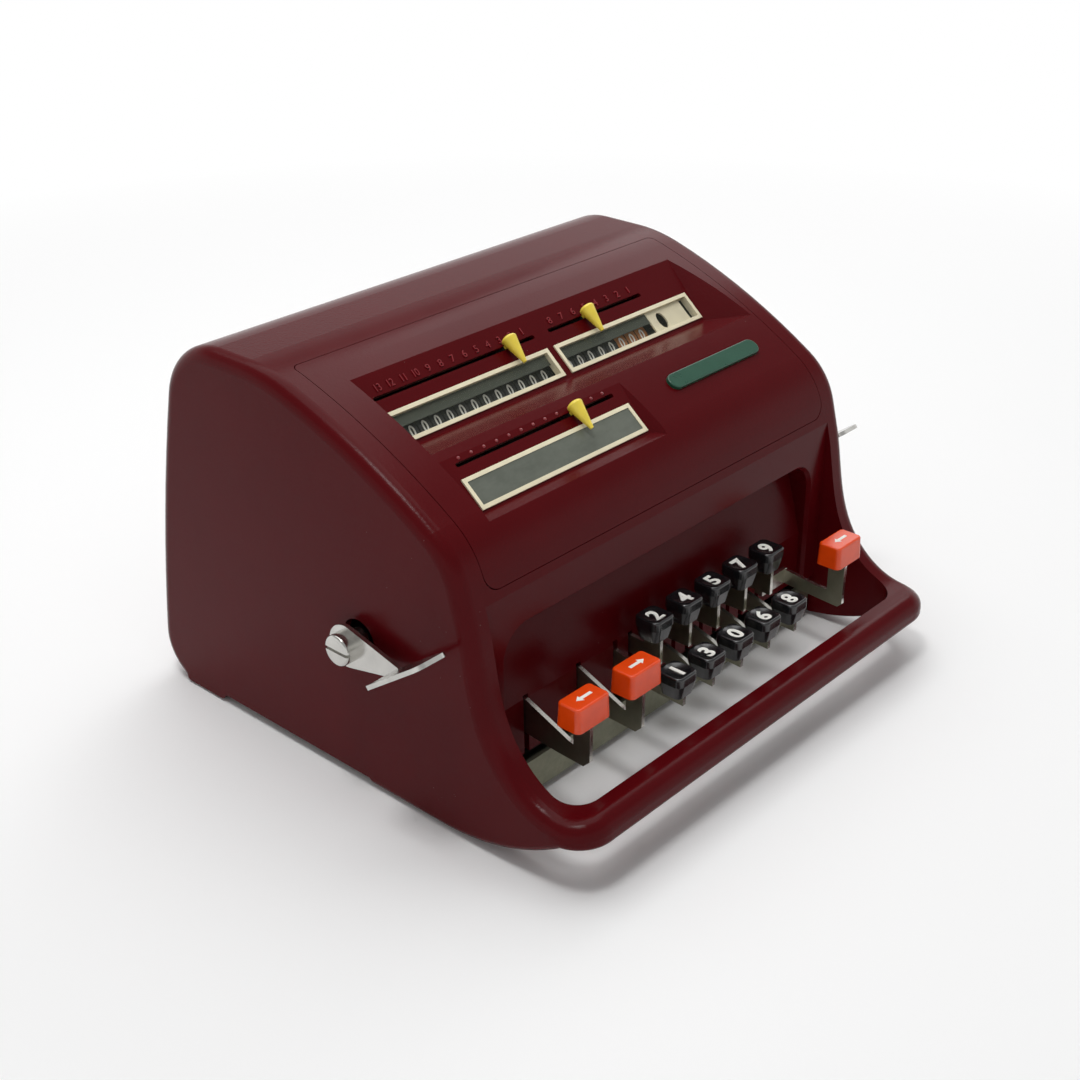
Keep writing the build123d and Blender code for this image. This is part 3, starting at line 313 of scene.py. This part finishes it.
def slope(top, crease, x, down, lift):
    """Points on a recess's back face: x across, down the slope, lifted off it."""
    top, crease = np.array(top), np.array(crease)
    fall = (crease - top) / np.linalg.norm(crease - top)
    x, down, lift = np.broadcast_arrays(x, down, lift)
    y = top[0] + down * fall[0] + lift * fall[1]
    z = top[1] + down * fall[1] - lift * fall[0]
    return np.stack((x, y, z), axis=-1) + SHIFT


def glyph(text, height, depth, stretch=1.0, weight=0.0):
    """Points and faces of a short word as a thin plate, centred, face towards +Z."""
    curve = bpy.data.curves.new("glyph", "FONT")
    curve.body = text
    curve.size = height / 0.72
    curve.align_x = "CENTER"
    curve.align_y = "CENTER"
    curve.extrude = depth / 2
    curve.offset = weight
    curve.resolution_u = 5
    carrier = bpy.data.objects.new("glyph", curve)
    bpy.context.scene.collection.objects.link(carrier)
    mesh = bpy.data.meshes.new_from_object(carrier)
    points = np.empty(len(mesh.vertices) * 3)
    mesh.vertices.foreach_get("co", points)
    points = points.reshape(-1, 3)
    middle = (points.max(axis=0) + points.min(axis=0)) / 2
    points = (points - middle) * (stretch, 1.0, 1.0)
    faces = [list(face.vertices) for face in mesh.polygons]
    bpy.data.objects.remove(carrier)
    bpy.data.meshes.remove(mesh)
    bpy.data.curves.remove(curve)
    return points, faces


def outline_plate(outline, depth):
    """A flat closed outline as a plate: one face, its back and a wall round them."""
    count = len(outline)
    front = np.column_stack((outline, np.full(count, depth / 2)))
    back = np.column_stack((outline, np.full(count, -depth / 2)))
    walls = [[i, i + count, (i + 1) % count + count, (i + 1) % count] for i in range(count)]
    faces = [list(range(count)), list(range(2 * count - 1, count - 1, -1))]
    return np.concatenate((front, back)), faces + walls


def bead(radius, height, rings=5, sides=12):
    """A low dome: radius times sin(u) round, height times cos(u) up, u to 90 degrees."""
    polar = np.linspace(0.02, math.pi / 2, rings)
    around = np.arange(sides) * 2 * math.pi / sides
    u, v = np.meshgrid(polar, around, indexing="ij")
    points = np.stack((radius * np.sin(u) * np.cos(v), radius * np.sin(u) * np.sin(v),
                       height * np.cos(u)), axis=-1).reshape(-1, 3)
    return points, grid_faces(rings, sides, wrap=True) + [list(range(sides))]


def turned(profile, sides=48):
    """A profile of (radius, distance) pairs turned about X; x is the distance."""
    profile = np.asarray(profile)
    angle = np.arange(sides) * 2 * math.pi / sides
    radius, along = profile[:, :1], profile[:, 1:]
    points = np.stack((np.broadcast_to(along, (len(profile), sides)),
                       radius * np.cos(angle), radius * np.sin(angle)), axis=-1)
    return points.reshape(-1, 3), grid_faces(len(profile), sides, wrap=True)


# ------------------------------------------------------------------- properties
def colour_property(name, description, value):
    return FloatVectorProperty(
        name=name, description=description, subtype="COLOR", size=3, min=0.0, max=1.0,
        default=value,
    )


def length_property(name, description, value):
    return FloatProperty(
        name=name, description=description, subtype="DISTANCE", unit="LENGTH", min=0.0,
        default=value,
    )


class CaseLook(PropertyGroup):
    paint: colour_property("Paint", "Wine red stove enamel of the body", (0.082, 0.0022, 0.0040))
    grain: length_property("Grain", "Height of the enamel's fine orange peel", 0.00005)
    gloss: FloatProperty(name="Gloss", description="Specular level of the enamel", subtype="FACTOR",
                         min=0.0, max=1.0, default=0.09)
    olive: colour_property("Olive", "Paint of the inner frames and crossbar", (0.052, 0.052, 0.038))
    badge: colour_property("Badge", "Enamel of the blank name badge", (0.005, 0.065, 0.034))


class KeyLook(PropertyGroup):
    black: colour_property("Black", "Digit key caps", (0.006, 0.006, 0.007))
    red: colour_property("Red", "Arrow key caps", (0.80, 0.062, 0.002))
    legend: colour_property("Legend", "Filled legends on the caps", (0.93, 0.91, 0.84))
    legend_height: length_property("Legend height", "Height of the digits on the caps", 0.0070)
    arrow_length: length_property("Arrow length", "Length of the arrows on the caps", 0.0084)


class WindowLook(PropertyGroup):
    ivory: colour_property("Ivory", "Window rims and the counter's mask", (0.80, 0.73, 0.52))
    yellow: colour_property("Yellow", "Decimal pointers", (0.90, 0.70, 0.07))
    wheel: colour_property("Wheel", "Numeral wheels", (0.010, 0.011, 0.008))
    # Window shade is a painted shade: the dark strip inside the upper windows.
    screen: colour_property("Screen", "Strip behind the upper windows", (0.040, 0.048, 0.030))
    warm_wheel: colour_property("Warm wheel", "Last wheels of the counter", (0.42, 0.16, 0.04))
    digit_height: length_property("Digit height", "Height of the wheel numerals", 0.0050)


class MetalLook(PropertyGroup):
    nickel: colour_property("Nickel", "Plated levers and screws", (0.62, 0.61, 0.58))
    steel: colour_property("Steel", "Shafts, springs and case screws", (0.30, 0.29, 0.24))
    lever_face: colour_property("Lever face", "Sides of the key levers", (0.30, 0.29, 0.22))
    # Lever edge is a painted highlight: the bright colour given to the levers' edges.
    lever_edge: colour_property("Lever edge", "Sheared edges of the levers", (0.78, 0.76, 0.70))
    crossbar: colour_property("Crossbar", "Bent plate across the loop", (0.27, 0.27, 0.20))


class StudioLook(PropertyGroup):
    floor: colour_property("Floor", "Floor and backdrop", (0.93, 0.93, 0.93))
    softbox: FloatProperty(name="Softbox", description="Power of the overhead softbox",
                           subtype="POWER", min=0.0, default=11.0)
    surround: FloatProperty(name="Surround", description="Light of the white room",
                            subtype="FACTOR", min=0.0, max=1.0, default=0.44)


LOOKS = (
    ("calculator_case", CaseLook),
    ("calculator_keys", KeyLook),
    ("calculator_windows", WindowLook),
    ("calculator_metal", MetalLook),
    ("calculator_studio", StudioLook),
)


# --------------------------------------------------------------------- finishes
def enamel(look):
    """Wine red stove enamel: fine peel, cloudy gloss and a few dust specks."""
    finish = Finish("wine_enamel", look.paint, 0.32)
    finish.shader.inputs["Specular IOR Level"].default_value = look.gloss
    cloud = finish.noise(9.0, detail=3.0)
    worn = finish.noise(28.0, detail=5.0, roughness=0.65)
    speck = (finish.cells(260.0) < 0.035) * (finish.noise(31.0) > 0.62)
    peel = finish.noise(900.0, detail=3.0, roughness=0.6)
    tone = (cloud * 0.7 + worn * 0.5 - 0.25).clamped()
    colour = finish.mix(tone, shade(look.paint, 0.82), shade(look.paint, 1.2))
    colour = finish.mix(speck * 0.35, colour, (0.45, 0.36, 0.34))
    finish.feed(Base_Color=colour, Roughness=0.15 + 0.10 * worn + 0.04 * peel)
    return finish.bump(peel + worn * 0.8, look.grain)


def plate(name, colour, roughness, grain=0.00001):
    """Nickel or steel: stretched scratches over a slightly cloudy face."""
    finish = Finish(name, colour, roughness, metallic=1.0)
    scratch = finish.noise(600.0, detail=4.0, stretch=(1.0, 0.12, 1.0))
    cloud = finish.noise(120.0, detail=3.0)
    tone = finish.mix(cloud, shade(colour, 0.72), shade(colour, 1.15))
    finish.feed(Base_Color=tone, Roughness=roughness * 0.6 + scratch * (roughness * 0.9))
    return finish.bump(scratch, grain)


def sheared_plate(name, face, edge, roughness):
    """Sheet metal: dull on its two faces across X, with a painted highlight: a bright colour on
    every other face, the plate's edges.
    """
    finish = Finish(name, face, roughness, metallic=1.0)
    normal = finish.node("ShaderNodeNewGeometry").outputs["Normal"]
    across = Value(finish.tree, finish.node("ShaderNodeSeparateXYZ", Vector=normal).outputs["X"])
    # Painted highlight: faces not across X, the plate's edges, take the bright edge colour.
    edge_highlight = across.size() < 0.6
    scratch = finish.noise(700.0, detail=4.0)
    dull = finish.mix(finish.noise(90.0, detail=3.0), shade(face, 0.6), shade(face, 1.3))
    tone = finish.mix(edge_highlight, dull, edge)
    gloss = roughness * (1.1 - 0.5 * edge_highlight) * (0.7 + 0.6 * scratch)
    finish.feed(Base_Color=tone, Roughness=gloss)
    return finish.bump(scratch, 0.00001)


def moulding(name, colour, roughness, coat=0.3, grain=0.00002):
    """Moulded plastic: faint colour drift, handled gloss and a soft surface."""
    finish = Finish(name, colour, roughness, coat=coat, coat_roughness=0.12)
    drift = finish.noise(160.0, detail=3.0)
    fine = finish.noise(1500.0, detail=2.0)
    tone = finish.mix(drift, shade(colour, 0.85), shade(colour, 1.12))
    finish.feed(Base_Color=tone, Roughness=roughness * 0.75 + drift * (roughness * 0.5))
    return finish.bump(fine + drift * 2.0, grain)


def window_pane():
    """Celluloid: clear over the two upper windows, dusty and dim over the lower."""
    finish = Finish("window_pane", (0.15, 0.165, 0.135), 0.2)
    haze = finish.noise(70.0, detail=5.0, roughness=0.7, stretch=(0.5, 1.0, 1.0))
    dust = (finish.cells(300.0) < 0.06) * (finish.noise(60.0) > 0.56)
    lower = finish.axis("Y") < SHIFT[1] + 0.045
    tone = finish.mix(haze, (0.085, 0.095, 0.075), (0.20, 0.215, 0.18))
    tone = finish.mix(dust * lower * 0.6, tone, (0.62, 0.62, 0.56))
    veil = 0.03 + haze * 0.05 + lower * (0.72 + haze * 0.16)
    finish.feed(Base_Color=tone, Alpha=veil.clamped(), Roughness=0.10 + haze * 0.2)
    return finish.bump(haze, 0.00002)


def pointer_paint(look, name, lift):
    """Yellow on the cone; near black where lift, the height over the slope, is low, down in the
    slot.
    """
    finish = Finish(name, look.yellow, 0.34, coat=0.2)
    below = lift(finish) < 0.0002
    drift = finish.noise(220.0, detail=3.0)
    tone = finish.mix(drift, shade(look.yellow, 0.84), shade(look.yellow, 1.1))
    # Everything below the slope's face, the stalk and shoe in the slot, is painted near black.
    tone = finish.mix(below, tone, (0.02, 0.02, 0.018))
    finish.feed(Base_Color=tone, Roughness=0.28 + 0.2 * drift)
    return finish.bump(drift, 0.00002)


def lift_over(top, crease):
    """The height over a recess's back face, as shader maths on Object coordinates:
    the place less the top edge, along the face's normal."""
    fall = np.subtract(crease, top) / math.dist(crease, top)
    start = np.array(top) + SHIFT[1:]
    return lambda finish: ((finish.axis("Y") - start[0]) * float(fall[1])
                           - (finish.axis("Z") - start[1]) * float(fall[0]))


# -------------------------------------------------------------------- operators
class CALCULATOR_OT_case(Operator):
    """Paints the housing, the top panel and the underside."""

    bl_idname = "calculator.case"
    bl_label = "Case"

    def execute(self, context):
        look = context.scene.calculator_case
        paint_nodes(enamel(look), "housing", "top_panel")
        olive = moulding("olive_paint", look.olive, 0.5, coat=0.0)
        paint_nodes(olive, "base_plate", "frame_side_left", "frame_side_right", "key_comb")
        paint_nodes(moulding("foot_rubber", (0.012, 0.012, 0.012), 0.8, coat=0.0), "rubber_feet")
        return {"FINISHED"}


class CALCULATOR_OT_metal(Operator):
    """Plates the levers, crank, shafts, springs and screws."""

    bl_idname = "calculator.metal"
    bl_label = "Metalwork"

    def execute(self, context):
        look = context.scene.calculator_metal
        nickel = plate("bright_nickel", look.nickel, 0.2)
        paint_nodes(nickel, "clear_lever_left", "clear_lever_right", "lever_screw_left",
                    "lever_screw_right", "crank_arm", "rotor_shaft")
        levers = [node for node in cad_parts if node.startswith("key_lever_")]
        # The levers' steel, with a painted highlight on their edges.
        paint_nodes(sheared_plate("lever_steel", look.lever_face, look.lever_edge, 0.36), *levers)
        paint_nodes(plate("dull_steel", look.steel, 0.42), "key_pivot_rod", "key_return_springs",
                    "register_shafts", "pointer_rails", "case_screws")
        paint_nodes(plate("crossbar_steel", look.crossbar, 0.5), "front_crossbar")
        paint_nodes(plate("rotor_brass", (0.55, 0.42, 0.2), 0.35), "pinwheel_rotor")
        paint_nodes(moulding("crank_grip", (0.008, 0.008, 0.008), 0.25), "crank_handle")
        return {"FINISHED"}


class CALCULATOR_OT_keys(Operator):
    """Moulds the key caps and fills their digits and arrows."""

    bl_idname = "calculator.keys"
    bl_label = "Keys"

    def execute(self, context):
        look = context.scene.calculator_keys
        black = moulding("cap_black", look.black, 0.24, coat=0.5)
        red = moulding("cap_red", look.red, 0.24, coat=0.05)
        fill = moulding("legend_fill", look.legend, 0.45, coat=0.0)
        for digit in UPPER_ROW + LOWER_ROW:
            paint_nodes(black, "key_cap_" + digit)
            shape = glyph(digit, look.legend_height, LEGEND_THICKNESS, 1.08, 0.00030)
            self.legend(fill, "key_cap_" + digit, "key_" + digit, shape, CAP_DISH)
        for name, side in (("tab_left", -1), ("tab_right", 1), ("return", -1)):
            paint_nodes(red, "key_cap_" + name)
            shape = arrow(look.arrow_length, side)
            self.legend(fill, "key_cap_" + name, "key_" + name, shape, 0.0)
        return {"FINISHED"}

    def legend(self, fill, node, body, shape, dish):
        """Lays a shape on a cap: down into its dish, which falls with the square
        of the distance from the middle."""
        low, high = (np.array(corner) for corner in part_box(node))
        points, faces = shape
        reach = (high[0] - low[0]) / 2
        away = points[:, 0] ** 2 + points[:, 1] ** 2
        fall = dish * (1.0 - away / (reach * DISH_SHARE) ** 2)
        lift = points[:, 2] - points[:, 2].max() + LEGEND_PROUD
        place = np.array(((low[0] + high[0]) / 2, (low[1] + high[1]) / 2, high[2]))
        points = points * (1, 1, 0) + place
        points[:, 2] += lift - fall
        add_piece("legend_" + node, points, faces, fill, body, smooth=False)


def arrow(length, side):
    """A thin arrow's outline as a plate: a shaft that widens into its head."""
    half, shaft, head = length / 2, length * 0.085, length * 0.21
    neck = half - 1.5 * head
    outline = [(-half, -shaft), (neck, -shaft), (neck, -head), (half, 0.0),
               (neck, head), (neck, shaft), (-half, shaft)]
    outline = np.array(outline) * (side, 1)
    return outline_plate(outline[::side], LEGEND_THICKNESS)


class CALCULATOR_OT_registers(Operator):
    """Darkens the wheels and wraps ten numerals round each."""

    bl_idname = "calculator.registers"
    bl_label = "Registers"

    def execute(self, context):
        look = context.scene.calculator_windows
        dark = moulding("wheel_black", look.wheel, 0.4, coat=0.1)
        warm = moulding("wheel_warm", look.warm_wheel, 0.45, coat=0.1)
        white = moulding("wheel_numerals", (0.88, 0.88, 0.82), 0.5, coat=0.0)
        rows = (
            ("product", 13, -0.0885, PRODUCT_SHAFT, UPPER_RADIUS, UPPER_ZERO),
            ("counter", 8, COUNTER_LEFT, PRODUCT_SHAFT, UPPER_RADIUS, UPPER_ZERO),
            ("setting", 13, -0.0875, SETTING_SHAFT, LOWER_RADIUS, LOWER_ZERO),
        )
        digits = [glyph(str(n), look.digit_height, DIGIT_THICKNESS, 0.78, 0.00012)
                  for n in range(10)]
        for name, count, left, shaft, radius, first in rows:
            paint_nodes(dark, name + "_wheels")
            parts = []
            for i in range(count):
                x = left + i * WHEEL_PITCH + WHEEL_WIDTH / 2
                parts += [self.wrap(digits[n], x, shaft, radius, first + DIGIT_TURN * n)
                          for n in range(10)]
            points, faces = gather(parts)
            add_piece(name + "_numerals", points, faces, white, name + "_register",
                      smooth=False)
        rims = []
        for i in WARM_WHEELS:
            left, radius = COUNTER_LEFT + i * WHEEL_PITCH, UPPER_RADIUS + RIM_LIFT
            rims.append(turned(((radius, left), (radius, left + WHEEL_WIDTH))))
        points, faces = gather(rims)
        points = points + np.array((0.0, *PRODUCT_SHAFT)) + SHIFT
        add_piece("counter_warm_rims", points, faces, warm, "counter_register")
        return {"FINISHED"}

    @staticmethod
    def wrap(shape, x, shaft, radius, turn):
        """Bends a plate round a wheel: height along the plate becomes an angle,
        y = r sin(a), z = r cos(a), with a measured back from straight up."""
        points, faces = shape
        angle = math.radians(turn) + points[:, 1] / radius
        reach = radius + DIGIT_LIFT + points[:, 2]
        bent = np.stack((points[:, 0] + x, shaft[0] + reach * np.sin(angle),
                         shaft[1] + reach * np.cos(angle)), axis=-1)
        return bent + SHIFT, faces


class CALCULATOR_OT_deck(Operator):
    """Casts the numerals and dots above the slots, and finishes the windows."""

    bl_idname = "calculator.deck"
    bl_label = "Deck and windows"

    def execute(self, context):
        look = context.scene.calculator_windows
        case = context.scene.calculator_case
        paint_nodes(moulding("ivory_rim", look.ivory, 0.42, coat=0.1), "window_frame_product",
                    "window_frame_counter", "window_frame_setting", "counter_mask")
        self.pointers(look)
        self.screens(look)
        paint_nodes(moulding("badge_enamel", case.badge, 0.3, coat=0.1), "name_badge")
        paint_nodes(window_pane(), "window_glasses")
        # Painted highlight: the raised numerals and dots take the enamel 2.6 times lighter.
        lit_relief = moulding("painted_highlight_relief", shade(case.paint, 2.6), 0.3, coat=0.3)
        self.numerals(lit_relief)
        self.dots(lit_relief)
        return {"FINISHED"}

    @staticmethod
    def numerals(finish):
        """Casts 13 to 1 over the product's slot and 8 to 1 over the counter's."""
        places = [(str(13 - i), SCALE_LEFT + i * 0.00665) for i in range(13)]
        places += [(str(8 - i), 0.0125 + i * 0.0073) for i in range(8)]
        parts = []
        for text, x in places:
            stretch = 0.8 if len(text) > 1 else 1.0
            points, faces = glyph(text, SCALE_HEIGHT, SCALE_THICKNESS, stretch)
            points = slope(UPPER_TOP, UPPER_CREASE, points[:, 0] + x, SCALE_DOWN - points[:, 1],
                           points[:, 2] + SCALE_LIFT)
            parts.append((points, faces))
        points, faces = gather(parts)
        add_piece("cast_numerals", points, faces, finish, "chassis", smooth=False)

    @staticmethod
    def dots(finish):
        """Casts a row of 13 low domes over the setting's slot."""
        parts = []
        for i in range(13):
            points, faces = bead(DOT_RADIUS, DOT_HEIGHT)
            points = slope(LOWER_TOP, LOWER_CREASE, points[:, 0] + SCALE_LEFT + i * WHEEL_PITCH,
                           DOT_DOWN - points[:, 1], points[:, 2] - DOT_SUNK)
            parts.append((points, faces))
        points, faces = gather(parts)
        add_piece("cast_dots", points, faces, finish, "chassis")

    @staticmethod
    def pointers(look):
        """Rounds the broad end of each cone: r sin(u) across and h cos(u) back."""
        rings, sides = 9, 40
        polar = np.linspace(0.02, math.pi / 2, rings)
        u, v = np.meshgrid(polar, np.arange(sides) * 2 * math.pi / sides, indexing="ij")
        across = POINTER_RADIUS * np.sin(u) * np.cos(v)
        up = POINTER_RADIUS * np.sin(u) * np.sin(v)
        back = POINTER_ROUND * np.cos(u)
        faces = [face[::-1] for face in grid_faces(rings, sides, wrap=True)]
        faces.append(list(range(sides)))
        for name, x, down, recess in (
            ("product", -0.0165, 0.0098, (UPPER_TOP, UPPER_CREASE)),
            ("counter", 0.0315, 0.0098, (UPPER_TOP, UPPER_CREASE)),
            ("setting", -0.0230, 0.0034, (LOWER_TOP, LOWER_CREASE)),
        ):
            finish = pointer_paint(look, "pointer_yellow_" + name, lift_over(*recess))
            paint_nodes(finish, "pointer_" + name)
            points = slope(*recess, across + x, down - POINTER_BACK - back, up + POINTER_AXIS)
            add_piece("pointer_end_" + name, points.reshape(-1, 3), faces, finish,
                      "pointer_" + name)

    @staticmethod
    def screens(look):
        """Flat dark strips behind the upper half of the two upper windows: painted shade inside the
        windows.
        """
        finish = moulding("painted_shade_strip", look.screen, 0.55, coat=0.0)
        parts = []
        for left, right in ((-0.0888, -0.0006), (0.0075, 0.0642)):
            x = np.tile((left, right), 4)
            down = WINDOW_DOWN + np.repeat((*STRIP_DOWN, *STRIP_DOWN[::-1]), 2)
            lift = np.repeat(STRIP_LIFT, 4)
            quads = [[0, 2, 3, 1], [2, 4, 5, 3], [4, 6, 7, 5], [6, 0, 1, 7],
                     [0, 6, 4, 2], [1, 3, 5, 7]]
            parts.append((slope(UPPER_TOP, UPPER_CREASE, x, down, lift), quads))
        points, faces = gather(parts)
        add_piece("window_shade_strips", points, faces, finish, "chassis", smooth=False)


class CALCULATOR_OT_studio(Operator):
    """Lays the pale floor and sets the lamps, the room and the camera."""

    bl_idname = "calculator.studio"
    bl_label = "Studio"

    def execute(self, context):
        look = context.scene.calculator_studio
        self.floor(look)
        self.room(look)
        self.lamps(look)
        self.camera(context)
        context.scene.view_settings.view_transform = "Standard"
        return {"FINISHED"}

    def floor(self, look):
        """A disc that fades to plain white away from the machine."""
        finish = Finish("studio_floor", look.floor, 0.9)
        length = finish.node("ShaderNodeVectorMath", {"operation": "LENGTH"},
                             Vector=finish.place)
        distance = Value(finish.tree, length.outputs["Value"])
        start, reach = FLOOR_FADE
        fade = ((distance - start) / reach).clamped()
        seen = looked_at(finish.tree, "Is Glossy Ray")
        white = finish.node("ShaderNodeEmission", Color=(1.0, 1.0, 1.0, 1.0), Strength=1.0)
        mixed = finish.node("ShaderNodeMixShader", Fac=fade * seen)
        finish.tree.links.new(finish.shader.outputs[0], mixed.inputs[1])
        finish.tree.links.new(white.outputs[0], mixed.inputs[2])
        finish.tree.links.new(mixed.outputs[0], finish.output.inputs[0])
        angle = np.linspace(0, 2 * math.pi, FLOOR_SIDES + 1)[:-1]
        points = np.column_stack((FLOOR_RADIUS * np.cos(angle), FLOOR_RADIUS * np.sin(angle),
                                  np.zeros(FLOOR_SIDES)))
        mesh = bpy.data.meshes.new("studio_floor")
        mesh.from_pydata(points.tolist(), [], [list(range(FLOOR_SIDES))])
        mesh.materials.append(finish.material)
        floor = bpy.data.objects.new("studio_floor", mesh)
        bpy.context.scene.collection.objects.link(floor)

    def room(self, look):
        """A white room: plain white walls where they are seen, softer light above."""
        world = bpy.data.worlds.new("white_room")
        bpy.context.scene.world = world
        world.use_nodes = True
        tree = world.node_tree
        tree.nodes.clear()
        seen = looked_at(tree, "Is Glossy Ray", "Is Transmission Ray")
        way = add_node(tree, "ShaderNodeTexCoord").outputs["Generated"]
        way = add_node(tree, "ShaderNodeSeparateXYZ", Vector=way)
        low = 1.0 - ((Value(tree, way.outputs["Z"]) - WALL_TOP) * WALL_FADE).clamped()
        strength = seen * low * (1.0 - look.surround) + look.surround
        back = add_node(tree, "ShaderNodeBackground", Color=(1.0, 1.0, 1.0, 1.0),
                        Strength=strength)
        add_node(tree, "ShaderNodeOutputWorld", Surface=back.outputs[0])

    def lamps(self, look):
        """Hangs each lamp: its name, place, aim, size and power."""
        for name, place, aim, size, power in (
            ("overhead_softbox", (0.10, 0.30, 1.1), (0.0, 0.0, 0.05), 1.1, look.softbox * 0.62),
            ("right_softbox", (1.05, 0.45, 0.9), (0.0, 0.0, 0.08), 0.6, look.softbox * 0.2),
            ("shoulder_lamp", (-0.38, -0.10, 1.2), (0.0, 0.0, 0.08), 0.22, look.softbox * 0.3),
        ):
            lamp = bpy.data.lights.new(name, "AREA")
            lamp.shape = "SQUARE"
            lamp.size = size
            lamp.energy = power
            holder = bpy.data.objects.new(name, lamp)
            bpy.context.scene.collection.objects.link(holder)
            holder.location = place
            towards = np.array(aim) - np.array(place)
            flat = math.hypot(towards[0], towards[1])
            holder.rotation_euler = (math.atan2(flat, -towards[2]), 0.0,
                                     math.atan2(-towards[0], towards[1]))

    def camera(self, context):
        """Stands the camera at the photograph's viewing angle."""
        camera = bpy.data.cameras.new("photo_camera")
        camera.sensor_width = SENSOR
        camera.lens = PHOTO_FOCAL / PHOTO_WIDTH * SENSOR
        camera.clip_start = 0.01
        holder = bpy.data.objects.new("photo_camera", camera)
        context.scene.collection.objects.link(holder)
        holder.location = np.array(CAMERA_PLACE) + SHIFT
        holder.rotation_euler = (math.radians(90.0 - CAMERA_DOWN), 0.0, math.radians(CAMERA_TURN))
        context.scene.camera = holder


class CALCULATOR_PT_finish(Panel):
    """Lists the steps and what they use."""

    bl_label = "Calculator finish"
    bl_idname = "CALCULATOR_PT_finish"
    bl_space_type = "VIEW_3D"
    bl_region_type = "UI"
    bl_category = "Calculator"

    def draw(self, context):
        for operator in OPERATORS:
            self.layout.operator(operator.bl_idname)
        for name, look in LOOKS:
            box = self.layout.box()
            for key in look.__annotations__:
                box.prop(getattr(context.scene, name), key)


OPERATORS = (
    CALCULATOR_OT_case,
    CALCULATOR_OT_metal,
    CALCULATOR_OT_keys,
    CALCULATOR_OT_registers,
    CALCULATOR_OT_deck,
    CALCULATOR_OT_studio,
)


def register():
    for name, look in LOOKS:
        bpy.utils.register_class(look)
        setattr(bpy.types.Scene, name, PointerProperty(type=look))
    for operator in OPERATORS:
        bpy.utils.register_class(operator)
    bpy.utils.register_class(CALCULATOR_PT_finish)


def unregister():
    bpy.utils.unregister_class(CALCULATOR_PT_finish)
    for operator in reversed(OPERATORS):
        bpy.utils.unregister_class(operator)
    for name, look in reversed(LOOKS):
        delattr(bpy.types.Scene, name)
        bpy.utils.unregister_class(look)


def main():
    register()
    bpy.ops.calculator.case()
    bpy.ops.calculator.metal()
    bpy.ops.calculator.keys()
    bpy.ops.calculator.registers()
    bpy.ops.calculator.deck()
    bpy.ops.calculator.studio()


if __name__ == "__main__":
    main()
